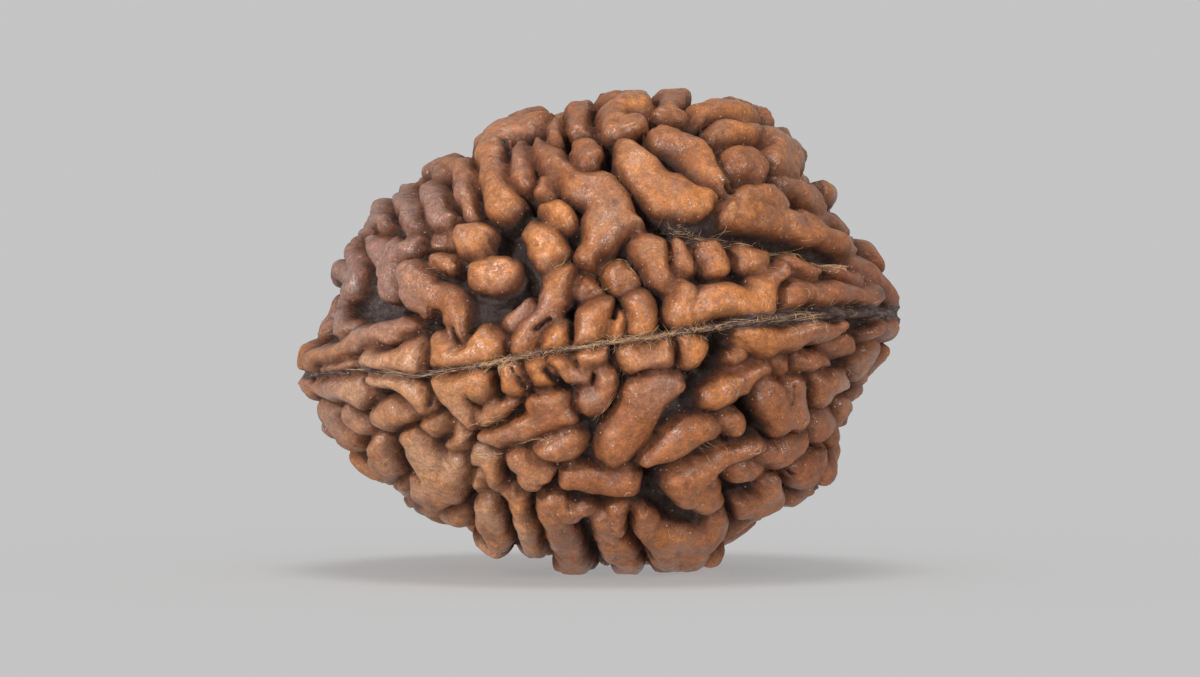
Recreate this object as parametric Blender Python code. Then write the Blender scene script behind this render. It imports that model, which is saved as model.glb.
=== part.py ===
"""A rudraksha seed: the hard, deeply folded stone of the fruit, with a seam along its front and its back.

Units are metres with +Z up. The seed lies on z = 0 with its long axis along X and its front seam towards -Y,
and the origin is on the table under its middle.

Its form is drawn in millimetres as seen from the front, x to the right and z up from the seed's middle.
A drawn point is carried straight back on to the seed's skin, the smooth surface that touches the folds'
tops. A point drawn outside the outline lies as far round on the back.
"""

import itertools
import math

import bmesh
import bpy
import numpy as np

MM = 0.001

# The skin
HALF_DEPTH = 9.9
OUTLINE_SMOOTHING = 2.5  # degrees

# The folds, in mm
GROOVE_DEPTH = 1.0
FLOOR_DEPTH = 1.6
FLOOR_REACH = 0.55
NARROW_FOLD = 0.5
PLUMPNESS = 0.26  # added to every half-width
MERGING = 0.35  # how much shallower a groove gets where two folds overlap
ROUNDING = 0.82  # of a fold's half-width
BLEND = 0.12
CHAIN_STEP = 0.14
SLANT = 0.5  # how far a drawn fold's width counts in depth
REACH = 1.3
RIM_DEPTH = 0.65
RIM_FROM = 0.8
RIM_TO = 4.0

PIT_DEPTH = 1.1
PIT_EDGE = 0.15

# The seam, in mm
KEEL_RISE = 0.3
KEEL_REACH = 1.5
SEAM_DEPTH = 0.25
SEAM_HALF_WIDTH = 0.08
SEAM_BAND = 0.22
WIDE_SEAM_BAND = 0.42  # towards the right tip
WIDE_SEAM_FROM = 3.8
WIDE_SEAM_TO = 5.4
SEAM_GROOVE = 0.14
SEAM_GROOVE_REACH = 0.2

# Irregular growth, in mm
WARP = 0.17
WARP_WAVE = 1.1
EDGE_WARP = 0.8
FINE_WARP = 0.06
FINE_WARP_WAVE = 0.5
WOBBLE = 0.09  # of the folds' edges
WOBBLE_WAVE = 0.7
SWELL = 0.12
SWELL_WAVE = 0.75
NOISE_CELLS = 64

# The folds of the back, in mm
BACK_FROM = 1.4
RIM_LOWERING = 0.25
ROW_SPACING = 9  # links of the seam's chain
SEAM_CLEARANCE = 0.62
SEAM_OVERLAP = 0.15
EDGE_REACH = 0.93  # of the outline's distance
EDGE_SHIFT = 0.3
WIDEST = 0.8
NARROWEST = 0.4
TRIES = 6000
LONGEST = 5  # steps each way
STEP = 0.55
PACKING = 0.92
TURNING = 0.35

# How it lies
LEAN = 3  # degrees, the front tipped up
FLAT_SPOT = 0.35
CUT_SNAP = 0.06

# The mesh
ICOSPHERE_STEPS = 7
TRIANGLES = 11500

# Points on the outline, from the right tip over the top to the left tip and back under it
OUTLINE = [
    (11.0, 0.5), (10.4, 2.1), (9.6, 3.35), (8.6, 4.55), (7.7, 6.3), (6.5, 7.7), (4.6, 8.6), (2.9, 8.65),
    (1.2, 8.87), (-0.5, 8.45), (-2.8, 7.95), (-4.3, 7.45), (-5.6, 6.4), (-7.6, 5.2), (-8.7, 4.1),
    (-9.6, 2.7), (-9.85, 1.9), (-10.15, 0.3), (-10.6, -0.7), (-11.0, -1.7), (-10.4, -2.6), (-10.35, -3.5),
    (-9.3, -4.75), (-8.2, -5.6), (-7.2, -6.5), (-5.4, -7.5), (-3.7, -8.45), (-0.9, -9.0), (1.0, -9.05),
    (3.4, -9.0), (4.7, -8.45), (5.5, -7.75), (6.7, -7.15), (8.4, -5.95), (8.8, -5.0), (9.05, -3.8),
    (9.45, -2.6), (9.95, -1.9), (10.5, -0.8),
]

# The front seam, from the left tip to the right one
SEAM = [
    (-11.0, -1.75), (-10.2, -1.68), (-9.3, -1.6), (-8.6, -1.5), (-7.8, -1.6), (-7.0, -1.66), (-6.3, -1.68),
    (-5.5, -1.5), (-4.5, -1.35), (-3.9, -1.25), (-3.0, -1.05), (-2.3, -0.9), (-1.5, -0.78), (-0.8, -0.7),
    (0.0, -0.55), (0.7, -0.45), (1.5, -0.35), (2.3, -0.25), (3.0, -0.1), (4.0, 0.02), (5.0, 0.2),
    (6.2, 0.32), (7.5, 0.44), (9.0, 0.56), (10.0, 0.56), (11.0, 0.5),
]

# A fold is its rise above the skin, then one or more strokes of (x, z, half-width)
UPPER_LEFT_FOLDS = [
    (-0.05, [(-8.35, 4.6, 0.4), (-8.25, 4.0, 0.45), (-8.3, 3.7, 0.35)]),
    (-0.1, [(-7.6, 5.0, 0.5), (-7.35, 4.4, 0.5), (-7.25, 3.9, 0.4)]),
    (-0.05, [(-6.6, 5.2, 0.45), (-6.3, 4.7, 0.55), (-6.2, 4.1, 0.5)]),
    (-0.05, [(-6.35, 5.6, 0.3), (-5.9, 6.1, 0.38), (-5.45, 6.0, 0.42), (-5.15, 5.4, 0.42), (-5.0, 4.8, 0.42),
             (-4.9, 4.4, 0.4)]),
    (0.05, [(-2.2, 7.75, 0.3), (-3.0, 7.6, 0.4), (-3.8, 7.3, 0.55), (-4.15, 6.6, 0.6), (-4.1, 5.9, 0.55),
            (-3.85, 5.2, 0.68), (-3.6, 4.7, 0.65)]),
    (-0.05, [(-9.4, 3.2, 0.3), (-9.25, 2.5, 0.4), (-9.2, 1.8, 0.42), (-9.4, 1.3, 0.3)],
            [(-9.3, 2.0, 0.3), (-9.9, 2.0, 0.25)]),
    (-0.2, [(-8.8, 3.3, 0.4), (-8.4, 2.8, 0.48), (-8.15, 2.2, 0.45), (-8.05, 1.5, 0.38)],
           [(-7.3, 3.5, 0.28), (-7.4, 3.05, 0.35), (-8.1, 2.85, 0.35)]),
    (0.15, [(-6.95, 2.1, 0.42), (-6.9, 1.5, 0.55), (-6.3, 1.15, 0.45), (-5.7, 1.15, 0.42), (-5.35, 0.8, 0.4),
            (-5.25, 0.2, 0.33), (-5.25, -0.1, 0.25)],
           [(-6.9, 1.3, 0.5), (-6.6, 0.9, 0.45)]),
    (-0.45, [(-6.25, 2.6, 0.32), (-6.1, 2.5, 0.32)]),
    (-0.75, [(-6.5, 3.5, 0.25), (-5.8, 3.6, 0.2)]),
    (0.15, [(-5.05, 3.35, 0.48), (-4.65, 3.3, 0.58)]),
    (0.15, [(-4.35, 2.1, 0.5), (-3.7, 1.95, 0.55)]),
    (-0.2, [(-9.9, 0.35, 0.35), (-9.7, -0.05, 0.3)]),
]
UPPER_MIDDLE_FOLDS = [
    (0.05, [(-2.3, 6.7, 0.4), (-1.65, 6.1, 0.5), (-0.95, 5.5, 0.5), (-0.1, 5.15, 0.6), (0.5, 4.5, 0.64),
            (0.95, 4.05, 0.42), (1.3, 3.85, 0.2)],
           [(0.3, 4.5, 0.6), (0.1, 3.8, 0.66), (-0.15, 3.1, 0.5), (-0.6, 2.6, 0.32)]),
    (0.0, [(-1.7, 7.6, 0.3), (-1.75, 7.1, 0.3)]),
    (0.0, [(-3.05, 6.6, 0.35), (-2.95, 6.0, 0.4), (-2.75, 5.5, 0.36)]),
    (0.0, [(-2.0, 5.5, 0.32), (-2.05, 5.15, 0.3)]),
    (-0.1, [(-1.0, 8.2, 0.45), (-0.8, 7.5, 0.4)]),
    (-0.05, [(-0.6, 6.7, 0.42), (-0.6, 6.3, 0.4)]),
    (0.05, [(0.4, 8.2, 0.6), (1.5, 8.3, 0.62)], [(0.4, 7.9, 0.6), (0.5, 7.4, 0.5), (1.1, 7.6, 0.5)],
           [(1.0, 9.1, 0.6), (1.0, 8.4, 0.6)]),
    (0.1, [(1.0, 6.5, 0.45), (1.55, 5.8, 0.6), (2.25, 5.15, 0.68), (3.0, 4.9, 0.65), (3.65, 4.75, 0.58)]),
    (0.0, [(2.2, 8.0, 0.38), (3.0, 7.95, 0.4)], [(2.6, 8.0, 0.4), (2.7, 8.9, 0.45)]),
    (0.0, [(2.1, 7.1, 0.3), (2.9, 6.9, 0.45), (3.5, 6.4, 0.48), (4.0, 5.85, 0.42), (4.6, 5.35, 0.25)]),
    (0.15, [(-2.15, 3.35, 0.6), (-1.95, 2.8, 0.6), (-1.85, 2.4, 0.35)]),
    (0.15, [(-1.8, 4.15, 0.42), (-1.4, 4.15, 0.45)]),
]
UPPER_RIGHT_FOLDS = [
    (0.0, [(3.7, 8.0, 0.45), (4.6, 8.2, 0.5), (5.5, 7.9, 0.45)]),
    (0.05, [(4.5, 7.2, 0.52), (5.2, 7.25, 0.48), (5.8, 7.35, 0.38)]),
    (0.05, [(4.9, 6.3, 0.45), (5.0, 5.95, 0.35)], [(4.9, 6.3, 0.4), (5.5, 6.35, 0.45), (5.8, 5.8, 0.33)]),
    (0.0, [(6.3, 7.2, 0.42), (6.75, 6.85, 0.5), (6.6, 6.4, 0.5), (7.0, 6.1, 0.45)],
          [(6.9, 6.95, 0.4), (7.25, 6.4, 0.45), (7.25, 5.9, 0.4)]),
    (0.0, [(6.9, 5.45, 0.42), (7.45, 5.3, 0.52), (7.9, 4.8, 0.48), (8.4, 4.4, 0.38)]),
    (0.05, [(5.0, 4.3, 0.5), (6.0, 4.1, 0.5), (7.2, 3.8, 0.48), (8.3, 3.5, 0.48), (9.0, 3.2, 0.48),
            (9.4, 2.9, 0.42)],
           [(5.0, 4.3, 0.5), (5.3, 4.85, 0.45), (5.9, 5.0, 0.45), (6.6, 4.85, 0.4)]),
    (-0.2, [(8.2, 4.3, 0.28), (8.9, 4.0, 0.28)]),
    (-0.2, [(8.9, 2.05, 0.3), (9.5, 1.95, 0.35)]),
    (-0.15, [(9.5, 2.6, 0.38), (10.0, 2.1, 0.42), (10.4, 1.5, 0.45), (10.85, 0.85, 0.4)]),
]
MIDDLE_FOLDS = [
    (-0.05, [(1.5, 3.0, 0.45), (2.05, 2.7, 0.45), (2.15, 2.1, 0.38), (2.35, 1.7, 0.3)]),
    (-0.05, [(3.05, 2.85, 0.4), (3.1, 2.45, 0.42)]),
    (-0.05, [(4.0, 2.8, 0.48), (4.25, 2.5, 0.5)]),
    (-0.1, [(5.35, 2.65, 0.42), (5.95, 2.5, 0.28)]),
    (-0.25, [(7.3, 2.35, 0.36), (8.0, 2.15, 0.34)]),
    (-0.5, [(0.6, 2.15, 0.42), (0.65, 1.8, 0.42), (1.1, 1.75, 0.35)]),
    (-0.6, [(-0.6, 1.55, 0.35), (-0.3, 1.4, 0.3)]),
]
FOLDS_ABOVE_SEAM = [
    (0.1, [(-10.4, -1.0, 0.3), (-9.5, -0.8, 0.32), (-8.8, -0.5, 0.32), (-8.2, -0.25, 0.33),
           (-7.5, -0.05, 0.3), (-7.1, 0.0, 0.2)]),
    (-0.05, [(-10.2, -1.42, 0.13), (-9.2, -1.38, 0.16)]),
    (0.15, [(-8.4, -1.1, 0.38), (-7.65, -1.25, 0.3), (-7.0, -1.1, 0.42), (-6.95, -0.75, 0.32)]),
    (0.2, [(-5.65, -0.6, 0.4), (-5.6, -1.05, 0.42), (-4.8, -1.0, 0.36), (-4.15, -0.7, 0.48),
           (-3.95, -0.3, 0.4)]),
    (0.2, [(-2.8, -0.6, 0.4), (-2.65, 0.05, 0.42), (-2.1, 0.38, 0.25), (-1.75, 0.45, 0.22)],
          [(-1.45, 1.8, 0.45), (-1.6, 1.35, 0.54), (-2.15, 0.75, 0.35), (-2.55, 0.2, 0.38)]),
    (-0.5, [(-3.3, 0.3, 0.3), (-2.75, 0.85, 0.22)]),
    (0.2, [(-1.5, 0.0, 0.25), (-1.6, -0.35, 0.4), (-1.9, -0.6, 0.35)]),
    (0.2, [(-0.1, 0.7, 0.42), (-0.3, 0.15, 0.48), (-0.5, -0.3, 0.4)]),
    (0.15, [(0.75, 0.25, 0.25), (0.5, -0.1, 0.33)]),
    (0.2, [(1.35, 1.0, 0.33), (1.45, 0.45, 0.42), (1.55, 0.0, 0.5)]),
    (0.15, [(2.9, 1.35, 0.35), (2.85, 0.5, 0.42)],
           [(3.55, 0.8, 0.5), (4.5, 1.0, 0.52), (5.2, 0.9, 0.48), (5.8, 0.95, 0.5), (5.85, 1.5, 0.42),
            (6.1, 1.95, 0.3), (6.6, 2.15, 0.22)]),
    (0.05, [(6.85, 1.0, 0.33), (7.5, 1.4, 0.42), (8.2, 1.25, 0.38), (9.1, 1.3, 0.35), (9.9, 1.3, 0.38)]),
]
FOLDS_BELOW_SEAM = [
    (0.05, [(-10.2, -2.05, 0.3), (-9.3, -2.3, 0.5), (-8.75, -2.35, 0.42)]),
    (0.1, [(-8.1, -1.95, 0.22), (-7.2, -2.05, 0.3), (-6.8, -2.35, 0.35), (-6.5, -2.8, 0.28)]),
    (0.15, [(-5.75, -1.95, 0.38), (-5.3, -2.5, 0.55), (-4.95, -3.1, 0.4), (-4.8, -3.45, 0.25)],
           [(-5.3, -2.1, 0.45), (-4.4, -1.95, 0.42), (-4.25, -2.4, 0.36)]),
    (0.2, [(-3.2, -1.6, 0.32), (-3.15, -2.1, 0.33)]),
    (0.2, [(-2.3, -1.35, 0.35), (-2.1, -1.75, 0.38)]),
    (0.2, [(-1.7, -1.1, 0.15), (-1.25, -1.3, 0.26), (-0.95, -1.6, 0.3), (-0.55, -1.75, 0.25)]),
    (0.2, [(-0.45, -1.1, 0.38), (-0.1, -1.1, 0.36)]),
    (0.2, [(1.0, -1.0, 0.42), (1.15, -1.15, 0.35), (1.75, -0.95, 0.36), (2.35, -0.9, 0.4)]),
    (0.2, [(3.1, -0.6, 0.3), (3.35, -0.75, 0.33), (3.25, -1.05, 0.28)]),
    (0.1, [(5.2, -0.5, 0.36), (6.0, -0.6, 0.4), (6.8, -0.4, 0.33), (7.6, -0.22, 0.27), (8.5, -0.05, 0.2)]),
    (0.0, [(4.8, -1.2, 0.2), (5.05, -1.0, 0.2)]),
    (-0.05, [(9.75, -0.15, 0.22), (10.3, -0.2, 0.35), (10.8, 0.1, 0.4)]),
]
LOWER_LEFT_FOLDS = [
    (-0.1, [(-10.1, -3.0, 0.38), (-9.95, -3.6, 0.42), (-9.4, -4.25, 0.4)]),
    (-0.05, [(-9.35, -3.1, 0.32), (-8.95, -3.7, 0.32)]),
    (0.05, [(-8.15, -3.3, 0.42), (-7.6, -3.1, 0.38), (-7.0, -3.1, 0.25)]),
    (0.0, [(-8.3, -4.3, 0.4), (-8.15, -4.9, 0.5), (-8.0, -5.3, 0.42)]),
    (-0.15, [(-7.5, -5.9, 0.28), (-7.5, -6.2, 0.28)]),
    (0.0, [(-6.95, -4.1, 0.42), (-6.7, -4.7, 0.5), (-6.35, -5.3, 0.55), (-6.1, -6.0, 0.7),
           (-6.25, -6.5, 0.6)],
          [(-5.5, -4.95, 0.36), (-5.5, -5.5, 0.5), (-5.8, -6.1, 0.6)],
          [(-6.9, -6.1, 0.42), (-6.2, -6.1, 0.6)]),
    (-0.1, [(-5.9, -7.1, 0.3), (-5.3, -7.2, 0.38)]),
    (0.0, [(-6.3, -3.5, 0.33), (-6.0, -3.75, 0.3)]),
    (0.0, [(-5.3, -3.95, 0.28), (-5.5, -4.35, 0.33)]),
    (0.1, [(-4.3, -3.2, 0.3), (-3.8, -2.95, 0.28), (-3.4, -2.7, 0.25)]),
    (0.0, [(-4.55, -4.8, 0.32), (-4.15, -5.1, 0.36), (-4.0, -5.6, 0.33), (-3.75, -6.0, 0.28)]),
    (-0.3, [(-4.6, -5.7, 0.3), (-4.6, -6.0, 0.35)]),
    (0.0, [(-4.25, -6.7, 0.38), (-4.2, -7.3, 0.48), (-3.9, -7.9, 0.4)]),
    (0.0, [(-3.6, -6.1, 0.25), (-3.15, -6.3, 0.33), (-3.0, -6.9, 0.24), (-2.8, -7.5, 0.3),
           (-2.6, -8.1, 0.35)]),
]
LOWER_MIDDLE_FOLDS = [
    (0.1, [(-4.35, -4.2, 0.22), (-3.5, -4.0, 0.3), (-2.8, -3.75, 0.36), (-2.1, -3.4, 0.48),
           (-1.5, -3.2, 0.42)],
          [(-2.4, -2.9, 0.38), (-1.7, -2.75, 0.42)]),
    (0.05, [(0.1, -1.8, 0.42), (0.0, -2.3, 0.5), (-0.5, -2.65, 0.42)]),
    (0.1, [(-2.0, -4.5, 0.45), (-1.3, -4.35, 0.62)]),
    (0.05, [(-3.2, -4.75, 0.27), (-2.7, -5.1, 0.42), (-2.25, -5.3, 0.35)],
           [(-2.7, -5.1, 0.4), (-2.6, -5.7, 0.3)]),
    (0.1, [(2.5, -1.95, 0.42), (1.8, -2.4, 0.6), (1.3, -3.1, 0.7), (0.95, -3.9, 0.76), (0.5, -4.5, 0.68)]),
    (0.0, [(-1.05, -5.6, 0.4), (-0.4, -5.65, 0.4), (0.3, -5.75, 0.42), (1.1, -5.7, 0.48)]),
    (0.08, [(-1.8, -6.5, 0.48), (-1.1, -6.9, 0.36), (-0.3, -6.85, 0.3)],
          [(-1.8, -6.8, 0.5), (-1.65, -7.4, 0.5), (-1.25, -8.1, 0.5), (-1.1, -8.6, 0.5), (-1.1, -9.2, 0.5)]),
    (0.05, [(0.0, -7.1, 0.4), (0.2, -7.7, 0.42), (0.7, -8.2, 0.58), (0.9, -8.8, 0.5), (0.9, -9.2, 0.4)],
          [(0.65, -6.8, 0.3), (0.7, -7.4, 0.25)]),
    (0.05, [(4.3, -3.6, 0.3), (3.6, -3.7, 0.46), (3.0, -4.0, 0.58), (2.3, -4.55, 0.4), (1.75, -4.85, 0.28)]),
    (0.1, [(5.6, -4.4, 0.2), (4.8, -4.8, 0.36), (4.0, -5.4, 0.6), (3.2, -5.85, 0.68), (3.9, -6.3, 0.62)]),
    (0.0, [(1.5, -7.0, 0.42), (2.0, -7.6, 0.55), (2.8, -7.85, 0.65), (3.6, -8.0, 0.7), (4.2, -7.9, 0.66),
           (4.4, -7.2, 0.45)],
          [(3.3, -8.0, 0.6), (3.3, -9.1, 0.6), (4.1, -8.7, 0.5)],
          [(2.0, -7.6, 0.5), (2.3, -8.3, 0.55), (2.6, -8.8, 0.5)]),
]
LOWER_RIGHT_FOLDS = [
    (0.05, [(6.0, -1.45, 0.36), (5.4, -1.75, 0.5), (4.75, -2.1, 0.52), (4.2, -2.5, 0.44)]),
    (0.05, [(5.0, -3.5, 0.36), (4.6, -3.4, 0.3)]),
    (0.05, [(6.1, -2.15, 0.36), (6.4, -2.9, 0.5), (6.8, -3.5, 0.48)],
           [(7.1, -2.1, 0.36), (7.25, -2.8, 0.42), (7.35, -3.4, 0.42)]),
    (0.0, [(7.55, -4.2, 0.3), (7.0, -4.45, 0.38), (6.4, -4.75, 0.38), (6.0, -4.95, 0.28)]),
    (-0.25, [(5.2, -5.4, 0.38), (5.85, -5.35, 0.38)]),
    (0.0, [(6.35, -5.8, 0.4), (6.35, -6.35, 0.55), (5.9, -6.7, 0.52), (5.35, -6.75, 0.45)]),
    (-0.05, [(7.4, -5.55, 0.42), (7.9, -5.35, 0.55), (8.2, -5.0, 0.48)]),
    (-0.1, [(8.25, -2.1, 0.42), (8.4, -2.75, 0.46)], [(8.3, -2.2, 0.4), (9.1, -2.1, 0.42)]),
    (-0.15, [(8.45, -3.5, 0.5), (8.2, -4.1, 0.36)]),
    (-0.15, [(9.2, -2.95, 0.35), (9.0, -3.5, 0.3)]),
    (-0.05, [(7.5, -1.3, 0.42), (8.2, -1.3, 0.38)]),
    (-0.25, [(8.6, -0.75, 0.3), (9.2, -0.8, 0.32)]),
    (-0.1, [(10.1, -0.8, 0.42), (9.8, -1.5, 0.45)]),
    (-0.1, [(6.65, -1.25, 0.32), (6.75, -1.5, 0.28)]),
]


# Pits between the folds as (x, z, reach)
PITS = [
    (-3.3, 3.4, 0.9), (-3.0, 1.2, 0.9), (0.15, 6.5, 0.6), (5.6, -3.0, 0.7), (5.7, -3.7, 0.5),
    (-8.3, 0.7, 0.7), (-3.75, -2.1, 0.45), (-1.15, 0.7, 0.5), (-7.2, 0.5, 0.6), (4.4, -0.7, 0.5),
    (4.0, -1.4, 0.5), (3.4, -2.2, 0.6), (6.6, 2.2, 0.6), (6.9, -5.3, 0.5), (8.8, 1.85, 0.5),
    (-9.1, -4.3, 0.5), (-6.0, 0.3, 0.6), (-2.6, 4.9, 0.6), (-4.9, -4.0, 0.5), (2.1, 4.0, 0.6),
    (0.3, -3.0, 0.5), (1.9, -5.6, 0.6), (-2.0, -5.7, 0.5), (4.3, 5.3, 0.5),
]


def lattice_noise(points, wave, seed):
    """Smooth noise between -1 and 1 at points, from random values on a lattice with this spacing."""
    lattice = np.random.default_rng(seed).uniform(-1, 1, (NOISE_CELLS,) * 3)
    cell = np.floor(points / wave).astype(int)
    part = points / wave - cell
    part = part * part * (3 - 2 * part)
    total = np.zeros(len(points))
    for corner in itertools.product((0, 1), repeat=3):
        share = np.prod(np.where(corner, part, 1 - part), axis=1)
        i, j, k = ((cell + corner) % NOISE_CELLS).T
        total += share * lattice[i, j, k]
    return total


def outline_radii():
    """The outline's distance from the middle at each whole degree, with its corners rounded."""
    x, z = np.array(OUTLINE).T
    angles = np.degrees(np.arctan2(z, x))
    degrees = np.arange(360)
    radii = np.interp(degrees, angles, np.hypot(x, z), period=360)
    apart = (degrees + 180) % 360 - 180
    kernel = np.exp(-0.5 * (apart / OUTLINE_SMOOTHING) ** 2)
    smooth = np.fft.ifft(np.fft.fft(radii) * np.fft.fft(kernel / kernel.sum()))
    return smooth.real


RADII = outline_radii()


def outline_radius(x, z):
    """The outline's distance from the middle in the direction of (x, z)."""
    return np.interp(np.degrees(np.arctan2(z, x)), np.arange(360), RADII, period=360)


def skin_radius(directions):
    """The skin's distance from the middle in each unit direction."""
    x, y, z = directions.T
    across = np.hypot(x, z) / outline_radius(x, z)
    return 1 / np.hypot(across, y / HALF_DEPTH)


def on_skin(points):
    """Points moved straight from or to the middle until they are on the skin."""
    directions = points / np.linalg.norm(points, axis=1, keepdims=True)
    return directions * skin_radius(directions)[:, None]


def drawn_on_skin(x, z):
    """The skin's point behind (x, z) of the drawing, or round the back where it is outside the outline."""
    reach = math.hypot(x, z) / float(outline_radius(x, z))
    if reach <= 1:
        return (x, -HALF_DEPTH * math.sqrt(1 - reach**2), z)
    back = 2 - reach
    return (x * back / reach, HALF_DEPTH * math.sqrt(1 - back**2), z * back / reach)


def smooth_chain(points, widths):
    """Close points along a smooth curve on the skin through the given ones, each with its half-width."""
    knots = np.column_stack([points, widths])
    if len(knots) == 1:
        return knots + (0, 0, 0, PLUMPNESS)
    before = 2 * knots[0] - knots[1]
    after = 2 * knots[-1] - knots[-2]
    knots = np.vstack([before, knots, after])
    chain = []
    for a, b, c, d in zip(knots, knots[1:], knots[2:], knots[3:]):
        steps = max(2, math.ceil(np.linalg.norm(c[:3] - b[:3]) / CHAIN_STEP))
        t = np.linspace(0, 1, steps, endpoint=False)[:, None]
        chain.append(0.5 * (2 * b + (c - a) * t + (2 * a - 5 * b + 4 * c - d) * t**2
                            + (3 * b - a - 3 * c + d) * t**3))
    chain.append(knots[-2:-1])
    chain = np.vstack(chain)
    chain[:, :3] = on_skin(chain[:, :3])
    chain[:, 3] += PLUMPNESS
    return chain


def drawn_fold(fold):
    """A drawn fold as (rise, chain of points and half-widths)."""
    rise, *strokes = fold
    chains = []
    for stroke in strokes:
        points = np.array([drawn_on_skin(x, z) for x, z, _ in stroke])
        chains.append(smooth_chain(points, np.array([width for _, _, width in stroke])))
    return rise, np.vstack(chains)


def edge_folds(drawn):
    """Short folds across the outline, each one carrying on a drawn fold that comes near it."""
    rng = np.random.default_rng(8)
    folds = []
    for rise, *strokes in drawn:
        for stroke in strokes:
            x, z, width = max(stroke, key=lambda at: math.hypot(at[0], at[1]) / outline_radius(at[0], at[1]))
            reach = math.hypot(x, z) / float(outline_radius(x, z))
            if not EDGE_REACH < reach <= 1:
                continue
            _, y, _ = drawn_on_skin(x, z)
            sideways = np.array((-z, 0, x)) / math.hypot(x, z)
            points = np.array([(x, 0.3 * y, z), (x, 0, z), (x, -0.3 * y, z)])
            points += sideways * rng.normal(0, EDGE_SHIFT, (3, 1))
            chain = smooth_chain(on_skin(points), width * rng.uniform(0.9, 1.15, 3))
            folds.append((rise + rng.uniform(-0.1, 0.05), chain))
    return folds


def front_folds():
    drawn = (UPPER_LEFT_FOLDS + UPPER_MIDDLE_FOLDS + UPPER_RIGHT_FOLDS + MIDDLE_FOLDS + FOLDS_ABOVE_SEAM
             + FOLDS_BELOW_SEAM + LOWER_LEFT_FOLDS + LOWER_MIDDLE_FOLDS + LOWER_RIGHT_FOLDS)
    return [drawn_fold(fold) for fold in drawn] + edge_folds(drawn)


def nearest(points, chain):
    """The distance from each point to the nearest of a chain's points."""
    found = np.full(len(points), np.inf)
    for link in chain:
        found = np.minimum(found, np.linalg.norm(points - link[:3], axis=1))
    return found


def seam_chains():
    """The front seam, and the back seam that mirrors it through the seed."""
    front = np.array([drawn_on_skin(x, z) for x, z in SEAM])
    back = front * (1, -1, 1)
    none = np.zeros(len(SEAM))
    return smooth_chain(front, none), smooth_chain(back, none)


def has_room(point, width, taken):
    gaps = np.linalg.norm(taken[:, :3] - point, axis=1) / (width + taken[:, 3])
    return point[1] > BACK_FROM and gaps.min() > PACKING


def grown(start, way, width, taken, rng):
    """Points of a fold that grows one way from its start until it meets another fold."""
    points = [start]
    for _ in range(rng.integers(1, LONGEST + 1)):
        way = way - way @ points[-1] * points[-1] / (points[-1] @ points[-1])
        way /= np.linalg.norm(way)
        ahead = on_skin((points[-1] + STEP * way)[None])[0]
        if not has_room(ahead, width, taken):
            break
        points.append(ahead)
        way = way + TURNING * rng.normal(size=3)
    return points


def back_folds(front, back_seam):
    """Folds that fill the back: a row along each side of its seam, then wide and narrow ones between."""
    rng = np.random.default_rng(4)
    taken = np.vstack([chain for _, chain in front] + [back_seam - (0, 0, 0, PLUMPNESS + SEAM_OVERLAP)])
    folds = []
    starts = []
    for link in back_seam[::ROW_SPACING]:
        for side in (1, -1):
            at = link[:3] + (rng.uniform(-0.4, 0.4), 0, side * SEAM_CLEARANCE)
            starts.append((at, np.array((rng.normal(), 0, 4 * side)), rng.uniform(0.3, 0.5), False))
    for width in np.linspace(WIDEST, NARROWEST, TRIES):
        starts.append((rng.normal(size=3), rng.normal(size=3), width, True))
    for at, way, width, both_ways in starts:
        start = on_skin(at[None])[0]
        room = width + PLUMPNESS
        if not has_room(start, room, taken):
            continue
        points = grown(start, way, room, taken, rng)
        if both_ways:
            points = grown(start, -way, room, taken, rng)[:0:-1] + points
        chain = smooth_chain(np.array(points), width * rng.uniform(0.85, 1.1, len(points)))
        low = RIM_LOWERING * (1 - smoothstep(1, RIM_TO, chain[:, 1].mean()))
        folds.append((rng.uniform(-0.2, 0.05) - low, chain))
        taken = np.vstack([taken, chain])
    return folds


def smoothstep(low, high, value):
    t = np.clip((value - low) / (high - low), 0, 1)
    return t * t * (3 - 2 * t)


def pit_depth(points):
    """How much deeper the grooves are at each point, where folds leave a pit between them."""
    deeper = np.zeros(len(points))
    for x, z, reach in PITS:
        middle = drawn_on_skin(x, z)
        away = np.linalg.norm((points - middle) * (1, SLANT, 1), axis=1)
        deeper = np.maximum(deeper, PIT_DEPTH * smoothstep(reach, 0.4 * reach, away))
    return deeper


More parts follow.
